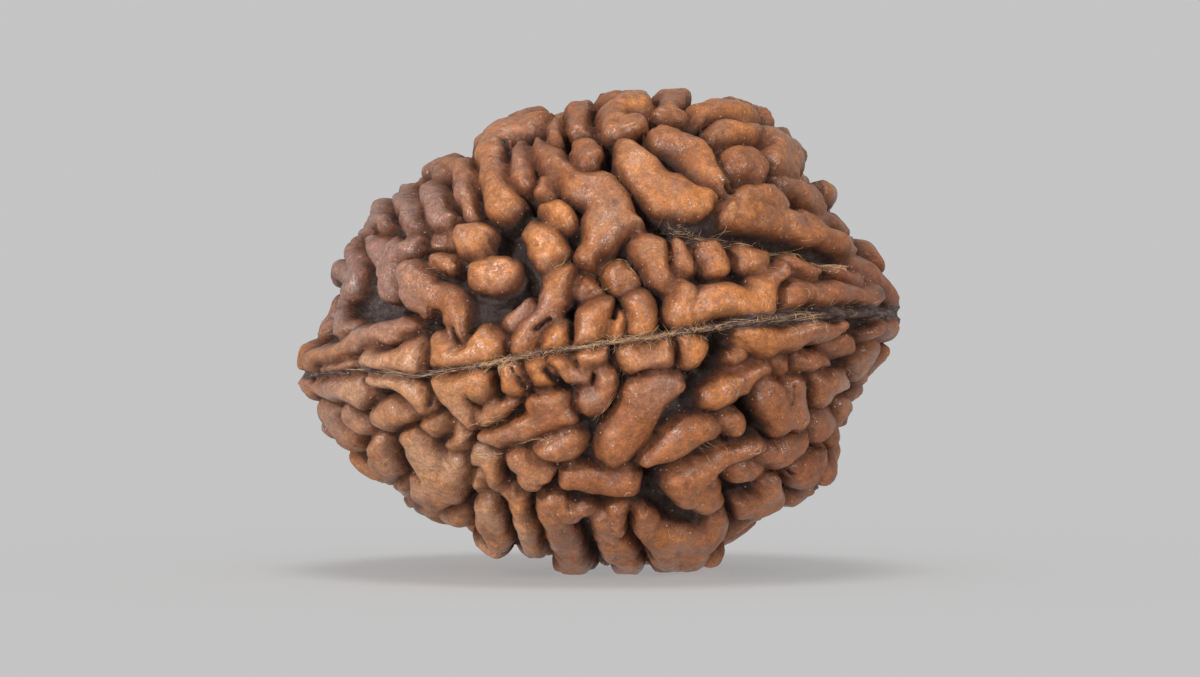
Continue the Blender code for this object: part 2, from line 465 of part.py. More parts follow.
def relief(directions, folds, seams):
    """The seed's radius in each unit direction, and what shaped it."""
    skin = directions * skin_radius(directions)[:, None]
    warp = np.column_stack([lattice_noise(skin, WARP_WAVE, seed) for seed in (11, 12, 13)])
    stronger = 1 + EDGE_WARP * np.exp(-((skin[:, 1:2] / RIM_TO) ** 2))
    fine_warp = np.column_stack([lattice_noise(skin, FINE_WARP_WAVE, seed) for seed in (14, 15, 16)])
    points = skin + WARP * stronger * warp + FINE_WARP * fine_warp
    count = len(points)
    best = np.full(count, -REACH)
    second = np.full(count, -REACH)
    owner = np.full(count, -1)
    weight = np.full(count, 1e-9)
    rise = np.zeros(count)
    width = np.full(count, 1e-9 * NARROW_FOLD)
    for index, (fold_rise, chain) in enumerate(folds):
        middle = chain[:, :3].mean(axis=0)
        faces_front = chain[:, 1].max() < -0.1
        scale = (1, SLANT, 1) if faces_front else (1, 1, 1)
        reach = np.linalg.norm(chain[:, :3] - middle, axis=1).max() + (chain[:, 3].max() + REACH) / SLANT
        near = np.flatnonzero(((points - middle) ** 2).sum(axis=1) < reach**2)
        inside = np.full(len(near), -np.inf)
        own_width = np.zeros(len(near))
        for link in chain:
            here = link[3] - np.linalg.norm((points[near] - link[:3]) * scale, axis=1)
            closer = here > inside
            inside[closer] = here[closer]
            own_width[closer] = link[3]
        share = np.exp(np.maximum(inside, -REACH) / BLEND)
        weight[near] += share
        rise[near] += share * fold_rise
        width[near] += share * own_width
        first = inside > best[near]
        second[near] = np.where(first, best[near], np.maximum(second[near], inside))
        best[near] = np.where(first, inside, best[near])
        owner[near[first]] = index
    rise /= weight
    width /= weight
    wobble = WOBBLE * lattice_noise(skin, WOBBLE_WAVE, 17)
    best += wobble
    second += wobble
    edge = np.minimum(best, (best - second) / 2 + MERGING * np.maximum(second, 0))
    slope = np.clip(edge / (ROUNDING * width), 0, 1)
    groove = GROOVE_DEPTH * np.minimum(1, width / NARROW_FOLD) ** 0.7
    depth = groove * (1 - np.sqrt(1 - (1 - slope) ** 2))
    depth += (FLOOR_DEPTH - groove) * smoothstep(0, FLOOR_REACH, -best)
    depth += pit_depth(points) * smoothstep(-PIT_EDGE, PIT_EDGE, -edge)
    to_seam = np.minimum(nearest(skin, seams[0]), nearest(skin, seams[1]))
    band = SEAM_BAND + (WIDE_SEAM_BAND - SEAM_BAND) * smoothstep(WIDE_SEAM_FROM, WIDE_SEAM_TO, skin[:, 0])
    limit = SEAM_DEPTH + (FLOOR_DEPTH - SEAM_DEPTH) * smoothstep(SEAM_HALF_WIDTH, band, to_seam)
    depth = np.minimum(depth, limit)
    rim = smoothstep(RIM_FROM, RIM_TO, np.abs(skin[:, 1]))
    depth = np.minimum(depth, RIM_DEPTH + (FLOOR_DEPTH - RIM_DEPTH) * rim)
    depth += SEAM_GROOVE * np.maximum(0, 1 - (to_seam / SEAM_GROOVE_REACH) ** 2)
    keel = KEEL_RISE * np.exp(-((to_seam / KEEL_REACH) ** 2))
    swell = SWELL * lattice_noise(skin, SWELL_WAVE, 21)
    radius = np.linalg.norm(skin, axis=1) + rise + keel - depth + swell
    return radius, {"owner": owner, "depth": depth, "edge": edge, "to_seam": to_seam}


def tipped(points):
    """Points of the drawing's frame turned to how the seed lies."""
    level = math.cos(math.radians(LEAN))
    rise = math.sin(math.radians(LEAN))
    x, y, z = points.T
    return np.column_stack([x, y * level + z * rise, z * level - y * rise])


def fine_mesh():
    """The seed's whole form as a dense mesh, before its flat spot is cut."""
    seams = seam_chains()
    front = front_folds()
    folds = front + back_folds(front, seams[1])
    mesh = bpy.data.meshes.new("fine")
    ball = bmesh.new()
    bmesh.ops.create_icosphere(ball, subdivisions=ICOSPHERE_STEPS, radius=1)
    ball.to_mesh(mesh)
    ball.free()
    directions = np.array([vertex.co for vertex in mesh.vertices])
    directions /= np.linalg.norm(directions, axis=1, keepdims=True)
    radius, _ = relief(directions, folds, seams)
    points = tipped(directions * radius[:, None])
    low = points.min(axis=0)
    high = points.max(axis=0)
    points -= ((low[0] + high[0]) / 2, (low[1] + high[1]) / 2, low[2] + FLAT_SPOT)
    mesh.vertices.foreach_set("co", (points * MM).astype(np.float32).ravel())
    return mesh


def fewer_triangles(mesh, collection):
    draft = bpy.data.objects.new("draft", mesh)
    collection.objects.link(draft)
    decimate = draft.modifiers.new("decimate", "DECIMATE")
    decimate.ratio = TRIANGLES / len(mesh.polygons)
    result = bpy.data.meshes.new_from_object(draft.evaluated_get(bpy.context.evaluated_depsgraph_get()))
    bpy.data.objects.remove(draft)
    return result


def cut_flat_spot(mesh):
    """Cuts off what lies under the table's surface and closes the cuts."""
    solid = bmesh.new()
    solid.from_mesh(mesh)
    for vertex in solid.verts:
        if abs(vertex.co.z) < MM * CUT_SNAP:
            vertex.co.z = 0
    everything = solid.verts[:] + solid.edges[:] + solid.faces[:]
    bmesh.ops.bisect_plane(solid, geom=everything, dist=0.001 * MM, plane_co=(0, 0, 0), plane_no=(0, 0, 1),
                           clear_inner=True)
    rims = [edge for edge in solid.edges if edge.is_boundary]
    bmesh.ops.holes_fill(solid, edges=rims)
    bmesh.ops.triangulate(solid, faces=solid.faces)
    solid.to_mesh(mesh)
    solid.free()


def make_seed(collection):
    mesh = fewer_triangles(fine_mesh(), collection)
    cut_flat_spot(mesh)
    mesh.name = "rudraksha_stone"
    seed = bpy.data.objects.new("rudraksha_stone", mesh)
    collection.objects.link(seed)
    return seed


def make_material():
    material = bpy.data.materials.new("seed_stone")
    material.use_nodes = True
    surface = material.node_tree.nodes["Principled BSDF"]
    surface.inputs["Base Color"].default_value = (0.36, 0.14, 0.055, 1)
    surface.inputs["Roughness"].default_value = 0.5
    surface.inputs["Metallic"].default_value = 0
    return material


for obj in list(bpy.data.objects):
    bpy.data.objects.remove(obj)
collection = bpy.data.collections.new("rudraksha_seed")
bpy.context.scene.collection.children.link(collection)
seed = make_seed(collection)
seed.data.materials.append(make_material())
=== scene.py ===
"""The looks of the rudraksha seed: a fine copy of its folds, its fibres and the studio around it.

The form is drawn in millimetres as seen from the front, x to the right and z up from the seed's middle, as in
the solid. A drawn point is carried straight back on to the seed's skin, the smooth surface that touches the
folds' tops. A point drawn outside the outline lies as far round on the back.
"""

import itertools
import math

import bmesh
import bpy
import numpy as np
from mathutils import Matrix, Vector


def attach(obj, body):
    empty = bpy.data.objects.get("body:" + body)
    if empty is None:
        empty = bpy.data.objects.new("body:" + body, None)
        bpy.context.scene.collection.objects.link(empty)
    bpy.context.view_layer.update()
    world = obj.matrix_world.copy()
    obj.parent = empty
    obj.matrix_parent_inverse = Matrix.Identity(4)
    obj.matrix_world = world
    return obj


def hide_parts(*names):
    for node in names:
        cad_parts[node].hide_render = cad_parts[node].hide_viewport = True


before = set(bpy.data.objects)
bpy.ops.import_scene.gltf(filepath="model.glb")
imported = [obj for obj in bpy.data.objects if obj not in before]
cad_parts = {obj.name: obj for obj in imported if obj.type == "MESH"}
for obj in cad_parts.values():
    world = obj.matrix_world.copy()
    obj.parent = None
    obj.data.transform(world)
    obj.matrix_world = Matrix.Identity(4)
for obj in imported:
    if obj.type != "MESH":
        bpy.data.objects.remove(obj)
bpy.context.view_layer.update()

MM = 0.001

# The skin
HALF_DEPTH = 9.9
OUTLINE_SMOOTHING = 2.5  # degrees

# The folds, in mm
GROOVE_DEPTH = 1.0
FLOOR_DEPTH = 1.6
FLOOR_REACH = 0.55
NARROW_FOLD = 0.5
PLUMPNESS = 0.26  # added to every half-width
MERGING = 0.35  # how much shallower a groove gets where two folds overlap
ROUNDING = 0.82  # of a fold's half-width
BLEND = 0.12
CHAIN_STEP = 0.14
SLANT = 0.5  # how far a drawn fold's width counts in depth
REACH = 1.3
RIM_DEPTH = 0.65
RIM_FROM = 0.8
RIM_TO = 4.0

PIT_DEPTH = 1.1
PIT_EDGE = 0.15

# The seam, in mm
KEEL_RISE = 0.3
KEEL_REACH = 1.5
SEAM_DEPTH = 0.25
SEAM_HALF_WIDTH = 0.08
SEAM_BAND = 0.22
WIDE_SEAM_BAND = 0.42  # towards the right tip
WIDE_SEAM_FROM = 3.8
WIDE_SEAM_TO = 5.4
SEAM_GROOVE = 0.14
SEAM_GROOVE_REACH = 0.2

# Irregular growth, in mm
WARP = 0.17
WARP_WAVE = 1.1
EDGE_WARP = 0.8
FINE_WARP = 0.06
FINE_WARP_WAVE = 0.5
WOBBLE = 0.09  # of the folds' edges
WOBBLE_WAVE = 0.7
SWELL = 0.12
SWELL_WAVE = 0.75
NOISE_CELLS = 64

# The folds of the back, in mm
BACK_FROM = 1.4
RIM_LOWERING = 0.25
ROW_SPACING = 9  # links of the seam's chain
SEAM_CLEARANCE = 0.62
SEAM_OVERLAP = 0.15
EDGE_REACH = 0.93  # of the outline's distance
EDGE_SHIFT = 0.3
WIDEST = 0.8
NARROWEST = 0.4
TRIES = 6000
LONGEST = 5  # steps each way
STEP = 0.55
PACKING = 0.92
TURNING = 0.35

# How it lies
LEAN = 3  # degrees, the front tipped up
FLAT_SPOT = 0.35

# Points on the outline, from the right tip over the top to the left tip and back under it
OUTLINE = [
    (11.0, 0.5), (10.4, 2.1), (9.6, 3.35), (8.6, 4.55), (7.7, 6.3), (6.5, 7.7), (4.6, 8.6), (2.9, 8.65),
    (1.2, 8.87), (-0.5, 8.45), (-2.8, 7.95), (-4.3, 7.45), (-5.6, 6.4), (-7.6, 5.2), (-8.7, 4.1),
    (-9.6, 2.7), (-9.85, 1.9), (-10.15, 0.3), (-10.6, -0.7), (-11.0, -1.7), (-10.4, -2.6), (-10.35, -3.5),
    (-9.3, -4.75), (-8.2, -5.6), (-7.2, -6.5), (-5.4, -7.5), (-3.7, -8.45), (-0.9, -9.0), (1.0, -9.05),
    (3.4, -9.0), (4.7, -8.45), (5.5, -7.75), (6.7, -7.15), (8.4, -5.95), (8.8, -5.0), (9.05, -3.8),
    (9.45, -2.6), (9.95, -1.9), (10.5, -0.8),
]

# The front seam, from the left tip to the right one
SEAM = [
    (-11.0, -1.75), (-10.2, -1.68), (-9.3, -1.6), (-8.6, -1.5), (-7.8, -1.6), (-7.0, -1.66), (-6.3, -1.68),
    (-5.5, -1.5), (-4.5, -1.35), (-3.9, -1.25), (-3.0, -1.05), (-2.3, -0.9), (-1.5, -0.78), (-0.8, -0.7),
    (0.0, -0.55), (0.7, -0.45), (1.5, -0.35), (2.3, -0.25), (3.0, -0.1), (4.0, 0.02), (5.0, 0.2),
    (6.2, 0.32), (7.5, 0.44), (9.0, 0.56), (10.0, 0.56), (11.0, 0.5),
]

# A fold is its rise above the skin, then one or more strokes of (x, z, half-width)
UPPER_LEFT_FOLDS = [
    (-0.05, [(-8.35, 4.6, 0.4), (-8.25, 4.0, 0.45), (-8.3, 3.7, 0.35)]),
    (-0.1, [(-7.6, 5.0, 0.5), (-7.35, 4.4, 0.5), (-7.25, 3.9, 0.4)]),
    (-0.05, [(-6.6, 5.2, 0.45), (-6.3, 4.7, 0.55), (-6.2, 4.1, 0.5)]),
    (-0.05, [(-6.35, 5.6, 0.3), (-5.9, 6.1, 0.38), (-5.45, 6.0, 0.42), (-5.15, 5.4, 0.42), (-5.0, 4.8, 0.42),
             (-4.9, 4.4, 0.4)]),
    (0.05, [(-2.2, 7.75, 0.3), (-3.0, 7.6, 0.4), (-3.8, 7.3, 0.55), (-4.15, 6.6, 0.6), (-4.1, 5.9, 0.55),
            (-3.85, 5.2, 0.68), (-3.6, 4.7, 0.65)]),
    (-0.05, [(-9.4, 3.2, 0.3), (-9.25, 2.5, 0.4), (-9.2, 1.8, 0.42), (-9.4, 1.3, 0.3)],
            [(-9.3, 2.0, 0.3), (-9.9, 2.0, 0.25)]),
    (-0.2, [(-8.8, 3.3, 0.4), (-8.4, 2.8, 0.48), (-8.15, 2.2, 0.45), (-8.05, 1.5, 0.38)],
           [(-7.3, 3.5, 0.28), (-7.4, 3.05, 0.35), (-8.1, 2.85, 0.35)]),
    (0.15, [(-6.95, 2.1, 0.42), (-6.9, 1.5, 0.55), (-6.3, 1.15, 0.45), (-5.7, 1.15, 0.42), (-5.35, 0.8, 0.4),
            (-5.25, 0.2, 0.33), (-5.25, -0.1, 0.25)],
           [(-6.9, 1.3, 0.5), (-6.6, 0.9, 0.45)]),
    (-0.45, [(-6.25, 2.6, 0.32), (-6.1, 2.5, 0.32)]),
    (-0.75, [(-6.5, 3.5, 0.25), (-5.8, 3.6, 0.2)]),
    (0.15, [(-5.05, 3.35, 0.48), (-4.65, 3.3, 0.58)]),
    (0.15, [(-4.35, 2.1, 0.5), (-3.7, 1.95, 0.55)]),
    (-0.2, [(-9.9, 0.35, 0.35), (-9.7, -0.05, 0.3)]),
]
UPPER_MIDDLE_FOLDS = [
    (0.05, [(-2.3, 6.7, 0.4), (-1.65, 6.1, 0.5), (-0.95, 5.5, 0.5), (-0.1, 5.15, 0.6), (0.5, 4.5, 0.64),
            (0.95, 4.05, 0.42), (1.3, 3.85, 0.2)],
           [(0.3, 4.5, 0.6), (0.1, 3.8, 0.66), (-0.15, 3.1, 0.5), (-0.6, 2.6, 0.32)]),
    (0.0, [(-1.7, 7.6, 0.3), (-1.75, 7.1, 0.3)]),
    (0.0, [(-3.05, 6.6, 0.35), (-2.95, 6.0, 0.4), (-2.75, 5.5, 0.36)]),
    (0.0, [(-2.0, 5.5, 0.32), (-2.05, 5.15, 0.3)]),
    (-0.1, [(-1.0, 8.2, 0.45), (-0.8, 7.5, 0.4)]),
    (-0.05, [(-0.6, 6.7, 0.42), (-0.6, 6.3, 0.4)]),
    (0.05, [(0.4, 8.2, 0.6), (1.5, 8.3, 0.62)], [(0.4, 7.9, 0.6), (0.5, 7.4, 0.5), (1.1, 7.6, 0.5)],
           [(1.0, 9.1, 0.6), (1.0, 8.4, 0.6)]),
    (0.1, [(1.0, 6.5, 0.45), (1.55, 5.8, 0.6), (2.25, 5.15, 0.68), (3.0, 4.9, 0.65), (3.65, 4.75, 0.58)]),
    (0.0, [(2.2, 8.0, 0.38), (3.0, 7.95, 0.4)], [(2.6, 8.0, 0.4), (2.7, 8.9, 0.45)]),
    (0.0, [(2.1, 7.1, 0.3), (2.9, 6.9, 0.45), (3.5, 6.4, 0.48), (4.0, 5.85, 0.42), (4.6, 5.35, 0.25)]),
    (0.15, [(-2.15, 3.35, 0.6), (-1.95, 2.8, 0.6), (-1.85, 2.4, 0.35)]),
    (0.15, [(-1.8, 4.15, 0.42), (-1.4, 4.15, 0.45)]),
]
UPPER_RIGHT_FOLDS = [
    (0.0, [(3.7, 8.0, 0.45), (4.6, 8.2, 0.5), (5.5, 7.9, 0.45)]),
    (0.05, [(4.5, 7.2, 0.52), (5.2, 7.25, 0.48), (5.8, 7.35, 0.38)]),
    (0.05, [(4.9, 6.3, 0.45), (5.0, 5.95, 0.35)], [(4.9, 6.3, 0.4), (5.5, 6.35, 0.45), (5.8, 5.8, 0.33)]),
    (0.0, [(6.3, 7.2, 0.42), (6.75, 6.85, 0.5), (6.6, 6.4, 0.5), (7.0, 6.1, 0.45)],
          [(6.9, 6.95, 0.4), (7.25, 6.4, 0.45), (7.25, 5.9, 0.4)]),
    (0.0, [(6.9, 5.45, 0.42), (7.45, 5.3, 0.52), (7.9, 4.8, 0.48), (8.4, 4.4, 0.38)]),
    (0.05, [(5.0, 4.3, 0.5), (6.0, 4.1, 0.5), (7.2, 3.8, 0.48), (8.3, 3.5, 0.48), (9.0, 3.2, 0.48),
            (9.4, 2.9, 0.42)],
           [(5.0, 4.3, 0.5), (5.3, 4.85, 0.45), (5.9, 5.0, 0.45), (6.6, 4.85, 0.4)]),
    (-0.2, [(8.2, 4.3, 0.28), (8.9, 4.0, 0.28)]),
    (-0.2, [(8.9, 2.05, 0.3), (9.5, 1.95, 0.35)]),
    (-0.15, [(9.5, 2.6, 0.38), (10.0, 2.1, 0.42), (10.4, 1.5, 0.45), (10.85, 0.85, 0.4)]),
]
MIDDLE_FOLDS = [
    (-0.05, [(1.5, 3.0, 0.45), (2.05, 2.7, 0.45), (2.15, 2.1, 0.38), (2.35, 1.7, 0.3)]),
    (-0.05, [(3.05, 2.85, 0.4), (3.1, 2.45, 0.42)]),
    (-0.05, [(4.0, 2.8, 0.48), (4.25, 2.5, 0.5)]),
    (-0.1, [(5.35, 2.65, 0.42), (5.95, 2.5, 0.28)]),
    (-0.25, [(7.3, 2.35, 0.36), (8.0, 2.15, 0.34)]),
    (-0.5, [(0.6, 2.15, 0.42), (0.65, 1.8, 0.42), (1.1, 1.75, 0.35)]),
    (-0.6, [(-0.6, 1.55, 0.35), (-0.3, 1.4, 0.3)]),
]
FOLDS_ABOVE_SEAM = [
    (0.1, [(-10.4, -1.0, 0.3), (-9.5, -0.8, 0.32), (-8.8, -0.5, 0.32), (-8.2, -0.25, 0.33),
           (-7.5, -0.05, 0.3), (-7.1, 0.0, 0.2)]),
    (-0.05, [(-10.2, -1.42, 0.13), (-9.2, -1.38, 0.16)]),
    (0.15, [(-8.4, -1.1, 0.38), (-7.65, -1.25, 0.3), (-7.0, -1.1, 0.42), (-6.95, -0.75, 0.32)]),
    (0.2, [(-5.65, -0.6, 0.4), (-5.6, -1.05, 0.42), (-4.8, -1.0, 0.36), (-4.15, -0.7, 0.48),
           (-3.95, -0.3, 0.4)]),
    (0.2, [(-2.8, -0.6, 0.4), (-2.65, 0.05, 0.42), (-2.1, 0.38, 0.25), (-1.75, 0.45, 0.22)],
          [(-1.45, 1.8, 0.45), (-1.6, 1.35, 0.54), (-2.15, 0.75, 0.35), (-2.55, 0.2, 0.38)]),
    (-0.5, [(-3.3, 0.3, 0.3), (-2.75, 0.85, 0.22)]),
    (0.2, [(-1.5, 0.0, 0.25), (-1.6, -0.35, 0.4), (-1.9, -0.6, 0.35)]),
    (0.2, [(-0.1, 0.7, 0.42), (-0.3, 0.15, 0.48), (-0.5, -0.3, 0.4)]),
    (0.15, [(0.75, 0.25, 0.25), (0.5, -0.1, 0.33)]),
    (0.2, [(1.35, 1.0, 0.33), (1.45, 0.45, 0.42), (1.55, 0.0, 0.5)]),
    (0.15, [(2.9, 1.35, 0.35), (2.85, 0.5, 0.42)],
           [(3.55, 0.8, 0.5), (4.5, 1.0, 0.52), (5.2, 0.9, 0.48), (5.8, 0.95, 0.5), (5.85, 1.5, 0.42),
            (6.1, 1.95, 0.3), (6.6, 2.15, 0.22)]),
    (0.05, [(6.85, 1.0, 0.33), (7.5, 1.4, 0.42), (8.2, 1.25, 0.38), (9.1, 1.3, 0.35), (9.9, 1.3, 0.38)]),
]
FOLDS_BELOW_SEAM = [
    (0.05, [(-10.2, -2.05, 0.3), (-9.3, -2.3, 0.5), (-8.75, -2.35, 0.42)]),
    (0.1, [(-8.1, -1.95, 0.22), (-7.2, -2.05, 0.3), (-6.8, -2.35, 0.35), (-6.5, -2.8, 0.28)]),
    (0.15, [(-5.75, -1.95, 0.38), (-5.3, -2.5, 0.55), (-4.95, -3.1, 0.4), (-4.8, -3.45, 0.25)],
           [(-5.3, -2.1, 0.45), (-4.4, -1.95, 0.42), (-4.25, -2.4, 0.36)]),
    (0.2, [(-3.2, -1.6, 0.32), (-3.15, -2.1, 0.33)]),
    (0.2, [(-2.3, -1.35, 0.35), (-2.1, -1.75, 0.38)]),
    (0.2, [(-1.7, -1.1, 0.15), (-1.25, -1.3, 0.26), (-0.95, -1.6, 0.3), (-0.55, -1.75, 0.25)]),
    (0.2, [(-0.45, -1.1, 0.38), (-0.1, -1.1, 0.36)]),
    (0.2, [(1.0, -1.0, 0.42), (1.15, -1.15, 0.35), (1.75, -0.95, 0.36), (2.35, -0.9, 0.4)]),
    (0.2, [(3.1, -0.6, 0.3), (3.35, -0.75, 0.33), (3.25, -1.05, 0.28)]),
    (0.1, [(5.2, -0.5, 0.36), (6.0, -0.6, 0.4), (6.8, -0.4, 0.33), (7.6, -0.22, 0.27), (8.5, -0.05, 0.2)]),
    (0.0, [(4.8, -1.2, 0.2), (5.05, -1.0, 0.2)]),
    (-0.05, [(9.75, -0.15, 0.22), (10.3, -0.2, 0.35), (10.8, 0.1, 0.4)]),
]
LOWER_LEFT_FOLDS = [
    (-0.1, [(-10.1, -3.0, 0.38), (-9.95, -3.6, 0.42), (-9.4, -4.25, 0.4)]),
    (-0.05, [(-9.35, -3.1, 0.32), (-8.95, -3.7, 0.32)]),
    (0.05, [(-8.15, -3.3, 0.42), (-7.6, -3.1, 0.38), (-7.0, -3.1, 0.25)]),
    (0.0, [(-8.3, -4.3, 0.4), (-8.15, -4.9, 0.5), (-8.0, -5.3, 0.42)]),
    (-0.15, [(-7.5, -5.9, 0.28), (-7.5, -6.2, 0.28)]),
    (0.0, [(-6.95, -4.1, 0.42), (-6.7, -4.7, 0.5), (-6.35, -5.3, 0.55), (-6.1, -6.0, 0.7),
           (-6.25, -6.5, 0.6)],
          [(-5.5, -4.95, 0.36), (-5.5, -5.5, 0.5), (-5.8, -6.1, 0.6)],
          [(-6.9, -6.1, 0.42), (-6.2, -6.1, 0.6)]),
    (-0.1, [(-5.9, -7.1, 0.3), (-5.3, -7.2, 0.38)]),
    (0.0, [(-6.3, -3.5, 0.33), (-6.0, -3.75, 0.3)]),
    (0.0, [(-5.3, -3.95, 0.28), (-5.5, -4.35, 0.33)]),
    (0.1, [(-4.3, -3.2, 0.3), (-3.8, -2.95, 0.28), (-3.4, -2.7, 0.25)]),
    (0.0, [(-4.55, -4.8, 0.32), (-4.15, -5.1, 0.36), (-4.0, -5.6, 0.33), (-3.75, -6.0, 0.28)]),
    (-0.3, [(-4.6, -5.7, 0.3), (-4.6, -6.0, 0.35)]),
    (0.0, [(-4.25, -6.7, 0.38), (-4.2, -7.3, 0.48), (-3.9, -7.9, 0.4)]),
    (0.0, [(-3.6, -6.1, 0.25), (-3.15, -6.3, 0.33), (-3.0, -6.9, 0.24), (-2.8, -7.5, 0.3),
           (-2.6, -8.1, 0.35)]),
]
LOWER_MIDDLE_FOLDS = [
    (0.1, [(-4.35, -4.2, 0.22), (-3.5, -4.0, 0.3), (-2.8, -3.75, 0.36), (-2.1, -3.4, 0.48),
           (-1.5, -3.2, 0.42)],
          [(-2.4, -2.9, 0.38), (-1.7, -2.75, 0.42)]),
    (0.05, [(0.1, -1.8, 0.42), (0.0, -2.3, 0.5), (-0.5, -2.65, 0.42)]),
    (0.1, [(-2.0, -4.5, 0.45), (-1.3, -4.35, 0.62)]),
    (0.05, [(-3.2, -4.75, 0.27), (-2.7, -5.1, 0.42), (-2.25, -5.3, 0.35)],
           [(-2.7, -5.1, 0.4), (-2.6, -5.7, 0.3)]),
    (0.1, [(2.5, -1.95, 0.42), (1.8, -2.4, 0.6), (1.3, -3.1, 0.7), (0.95, -3.9, 0.76), (0.5, -4.5, 0.68)]),
    (0.0, [(-1.05, -5.6, 0.4), (-0.4, -5.65, 0.4), (0.3, -5.75, 0.42), (1.1, -5.7, 0.48)]),
    (0.08, [(-1.8, -6.5, 0.48), (-1.1, -6.9, 0.36), (-0.3, -6.85, 0.3)],
          [(-1.8, -6.8, 0.5), (-1.65, -7.4, 0.5), (-1.25, -8.1, 0.5), (-1.1, -8.6, 0.5), (-1.1, -9.2, 0.5)]),
    (0.05, [(0.0, -7.1, 0.4), (0.2, -7.7, 0.42), (0.7, -8.2, 0.58), (0.9, -8.8, 0.5), (0.9, -9.2, 0.4)],
          [(0.65, -6.8, 0.3), (0.7, -7.4, 0.25)]),
    (0.05, [(4.3, -3.6, 0.3), (3.6, -3.7, 0.46), (3.0, -4.0, 0.58), (2.3, -4.55, 0.4), (1.75, -4.85, 0.28)]),
    (0.1, [(5.6, -4.4, 0.2), (4.8, -4.8, 0.36), (4.0, -5.4, 0.6), (3.2, -5.85, 0.68), (3.9, -6.3, 0.62)]),
    (0.0, [(1.5, -7.0, 0.42), (2.0, -7.6, 0.55), (2.8, -7.85, 0.65), (3.6, -8.0, 0.7), (4.2, -7.9, 0.66),
           (4.4, -7.2, 0.45)],
          [(3.3, -8.0, 0.6), (3.3, -9.1, 0.6), (4.1, -8.7, 0.5)],
          [(2.0, -7.6, 0.5), (2.3, -8.3, 0.55), (2.6, -8.8, 0.5)]),
]
LOWER_RIGHT_FOLDS = [
    (0.05, [(6.0, -1.45, 0.36), (5.4, -1.75, 0.5), (4.75, -2.1, 0.52), (4.2, -2.5, 0.44)]),
    (0.05, [(5.0, -3.5, 0.36), (4.6, -3.4, 0.3)]),
    (0.05, [(6.1, -2.15, 0.36), (6.4, -2.9, 0.5), (6.8, -3.5, 0.48)],
           [(7.1, -2.1, 0.36), (7.25, -2.8, 0.42), (7.35, -3.4, 0.42)]),
    (0.0, [(7.55, -4.2, 0.3), (7.0, -4.45, 0.38), (6.4, -4.75, 0.38), (6.0, -4.95, 0.28)]),
    (-0.25, [(5.2, -5.4, 0.38), (5.85, -5.35, 0.38)]),
    (0.0, [(6.35, -5.8, 0.4), (6.35, -6.35, 0.55), (5.9, -6.7, 0.52), (5.35, -6.75, 0.45)]),
    (-0.05, [(7.4, -5.55, 0.42), (7.9, -5.35, 0.55), (8.2, -5.0, 0.48)]),
    (-0.1, [(8.25, -2.1, 0.42), (8.4, -2.75, 0.46)], [(8.3, -2.2, 0.4), (9.1, -2.1, 0.42)]),
    (-0.15, [(8.45, -3.5, 0.5), (8.2, -4.1, 0.36)]),
    (-0.15, [(9.2, -2.95, 0.35), (9.0, -3.5, 0.3)]),
    (-0.05, [(7.5, -1.3, 0.42), (8.2, -1.3, 0.38)]),
    (-0.25, [(8.6, -0.75, 0.3), (9.2, -0.8, 0.32)]),
    (-0.1, [(10.1, -0.8, 0.42), (9.8, -1.5, 0.45)]),
    (-0.1, [(6.65, -1.25, 0.32), (6.75, -1.5, 0.28)]),
]

# Pits between the folds as (x, z, reach)
PITS = [
    (-3.3, 3.4, 0.9), (-3.0, 1.2, 0.9), (0.15, 6.5, 0.6), (5.6, -3.0, 0.7), (5.7, -3.7, 0.5),
    (-8.3, 0.7, 0.7), (-3.75, -2.1, 0.45), (-1.15, 0.7, 0.5), (-7.2, 0.5, 0.6), (4.4, -0.7, 0.5),
    (4.0, -1.4, 0.5), (3.4, -2.2, 0.6), (6.6, 2.2, 0.6), (6.9, -5.3, 0.5), (8.8, 1.85, 0.5),
    (-9.1, -4.3, 0.5), (-6.0, 0.3, 0.6), (-2.6, 4.9, 0.6), (-4.9, -4.0, 0.5), (2.1, 4.0, 0.6),
    (0.3, -3.0, 0.5), (1.9, -5.6, 0.6), (-2.0, -5.7, 0.5), (4.3, 5.3, 0.5),
]

# The fine mesh, in mm
FINE_STEPS = 8
VOXEL = 0.13
SMOOTHING_STEPS = 2
CRISPNESS = 0.9  # how closely the even mesh follows the formula
SEED_TRIANGLES = 190000
ROUGHNESS_WAVES = [(0.045, 0.5, 41), (0.02, 0.22, 42)]  # height, wave, seed of the noise

# The small folds in the gaps of the sides and the back, in mm
GAP_TRIES = 18000
GAP_FROM = -0.8
GAP_NARROWEST = 0.2
GAP_WIDEST = 0.55
GAP_LENGTHS = (0.4, 1.3)
GAP_TAPER = 0.7  # how narrow a fold may get at its far end
GAP_RISE = (-0.4, -0.1)

# Where painted shade darkens a fold's flank and its creases, in mm from its edge
FLANK_SHADE_WIDTH = 0.42
CREASE_SHADE_WIDTH = 0.09

# Small wrinkles across the folds, in mm
WRINKLE_WAVE = 1.2
WRINKLE_WIDTH = 0.08  # of the noise's range
WRINKLE_DEPTH = 0.08
# Painted shade in the wrinkles, as a share of the creases' darkness
WRINKLE_SHADE = 0.4
WRINKLED_WAVE = 1.5  # of the parts of the folds that have them
WRINKLED_FROM = (0.0, 0.35)

# Seeds of the random draws
GAP_SEED = 5
TONE_SEED = 31
WRINKLE_SEED = 45
WRINKLED_SEED = 46
FRONT_STRANDS_SEED = 61
BACK_STRANDS_SEED = 62

# The seam's ridge, its dark line and the painted light on the folds beside it, in mm
SEAM_RIDGE = 0.12
SEAM_RIDGE_REACH = 0.08
RIDGE_STARTS = (-5, -3.8)
RIDGE_ENDS = (4.6, 3.6)
SEAM_LINE = 0.13
WIDE_SEAM_LINE = 0.32
SEAM_SMOOTH = (0.05, 0.3)
SEAM_PAINTED_LIGHT = 0.8
SEAM_PAINTED_LIGHT_REACH = 1.3
SEAM_PAINTED_LIGHT_ENDS = (7.5, 5.5)

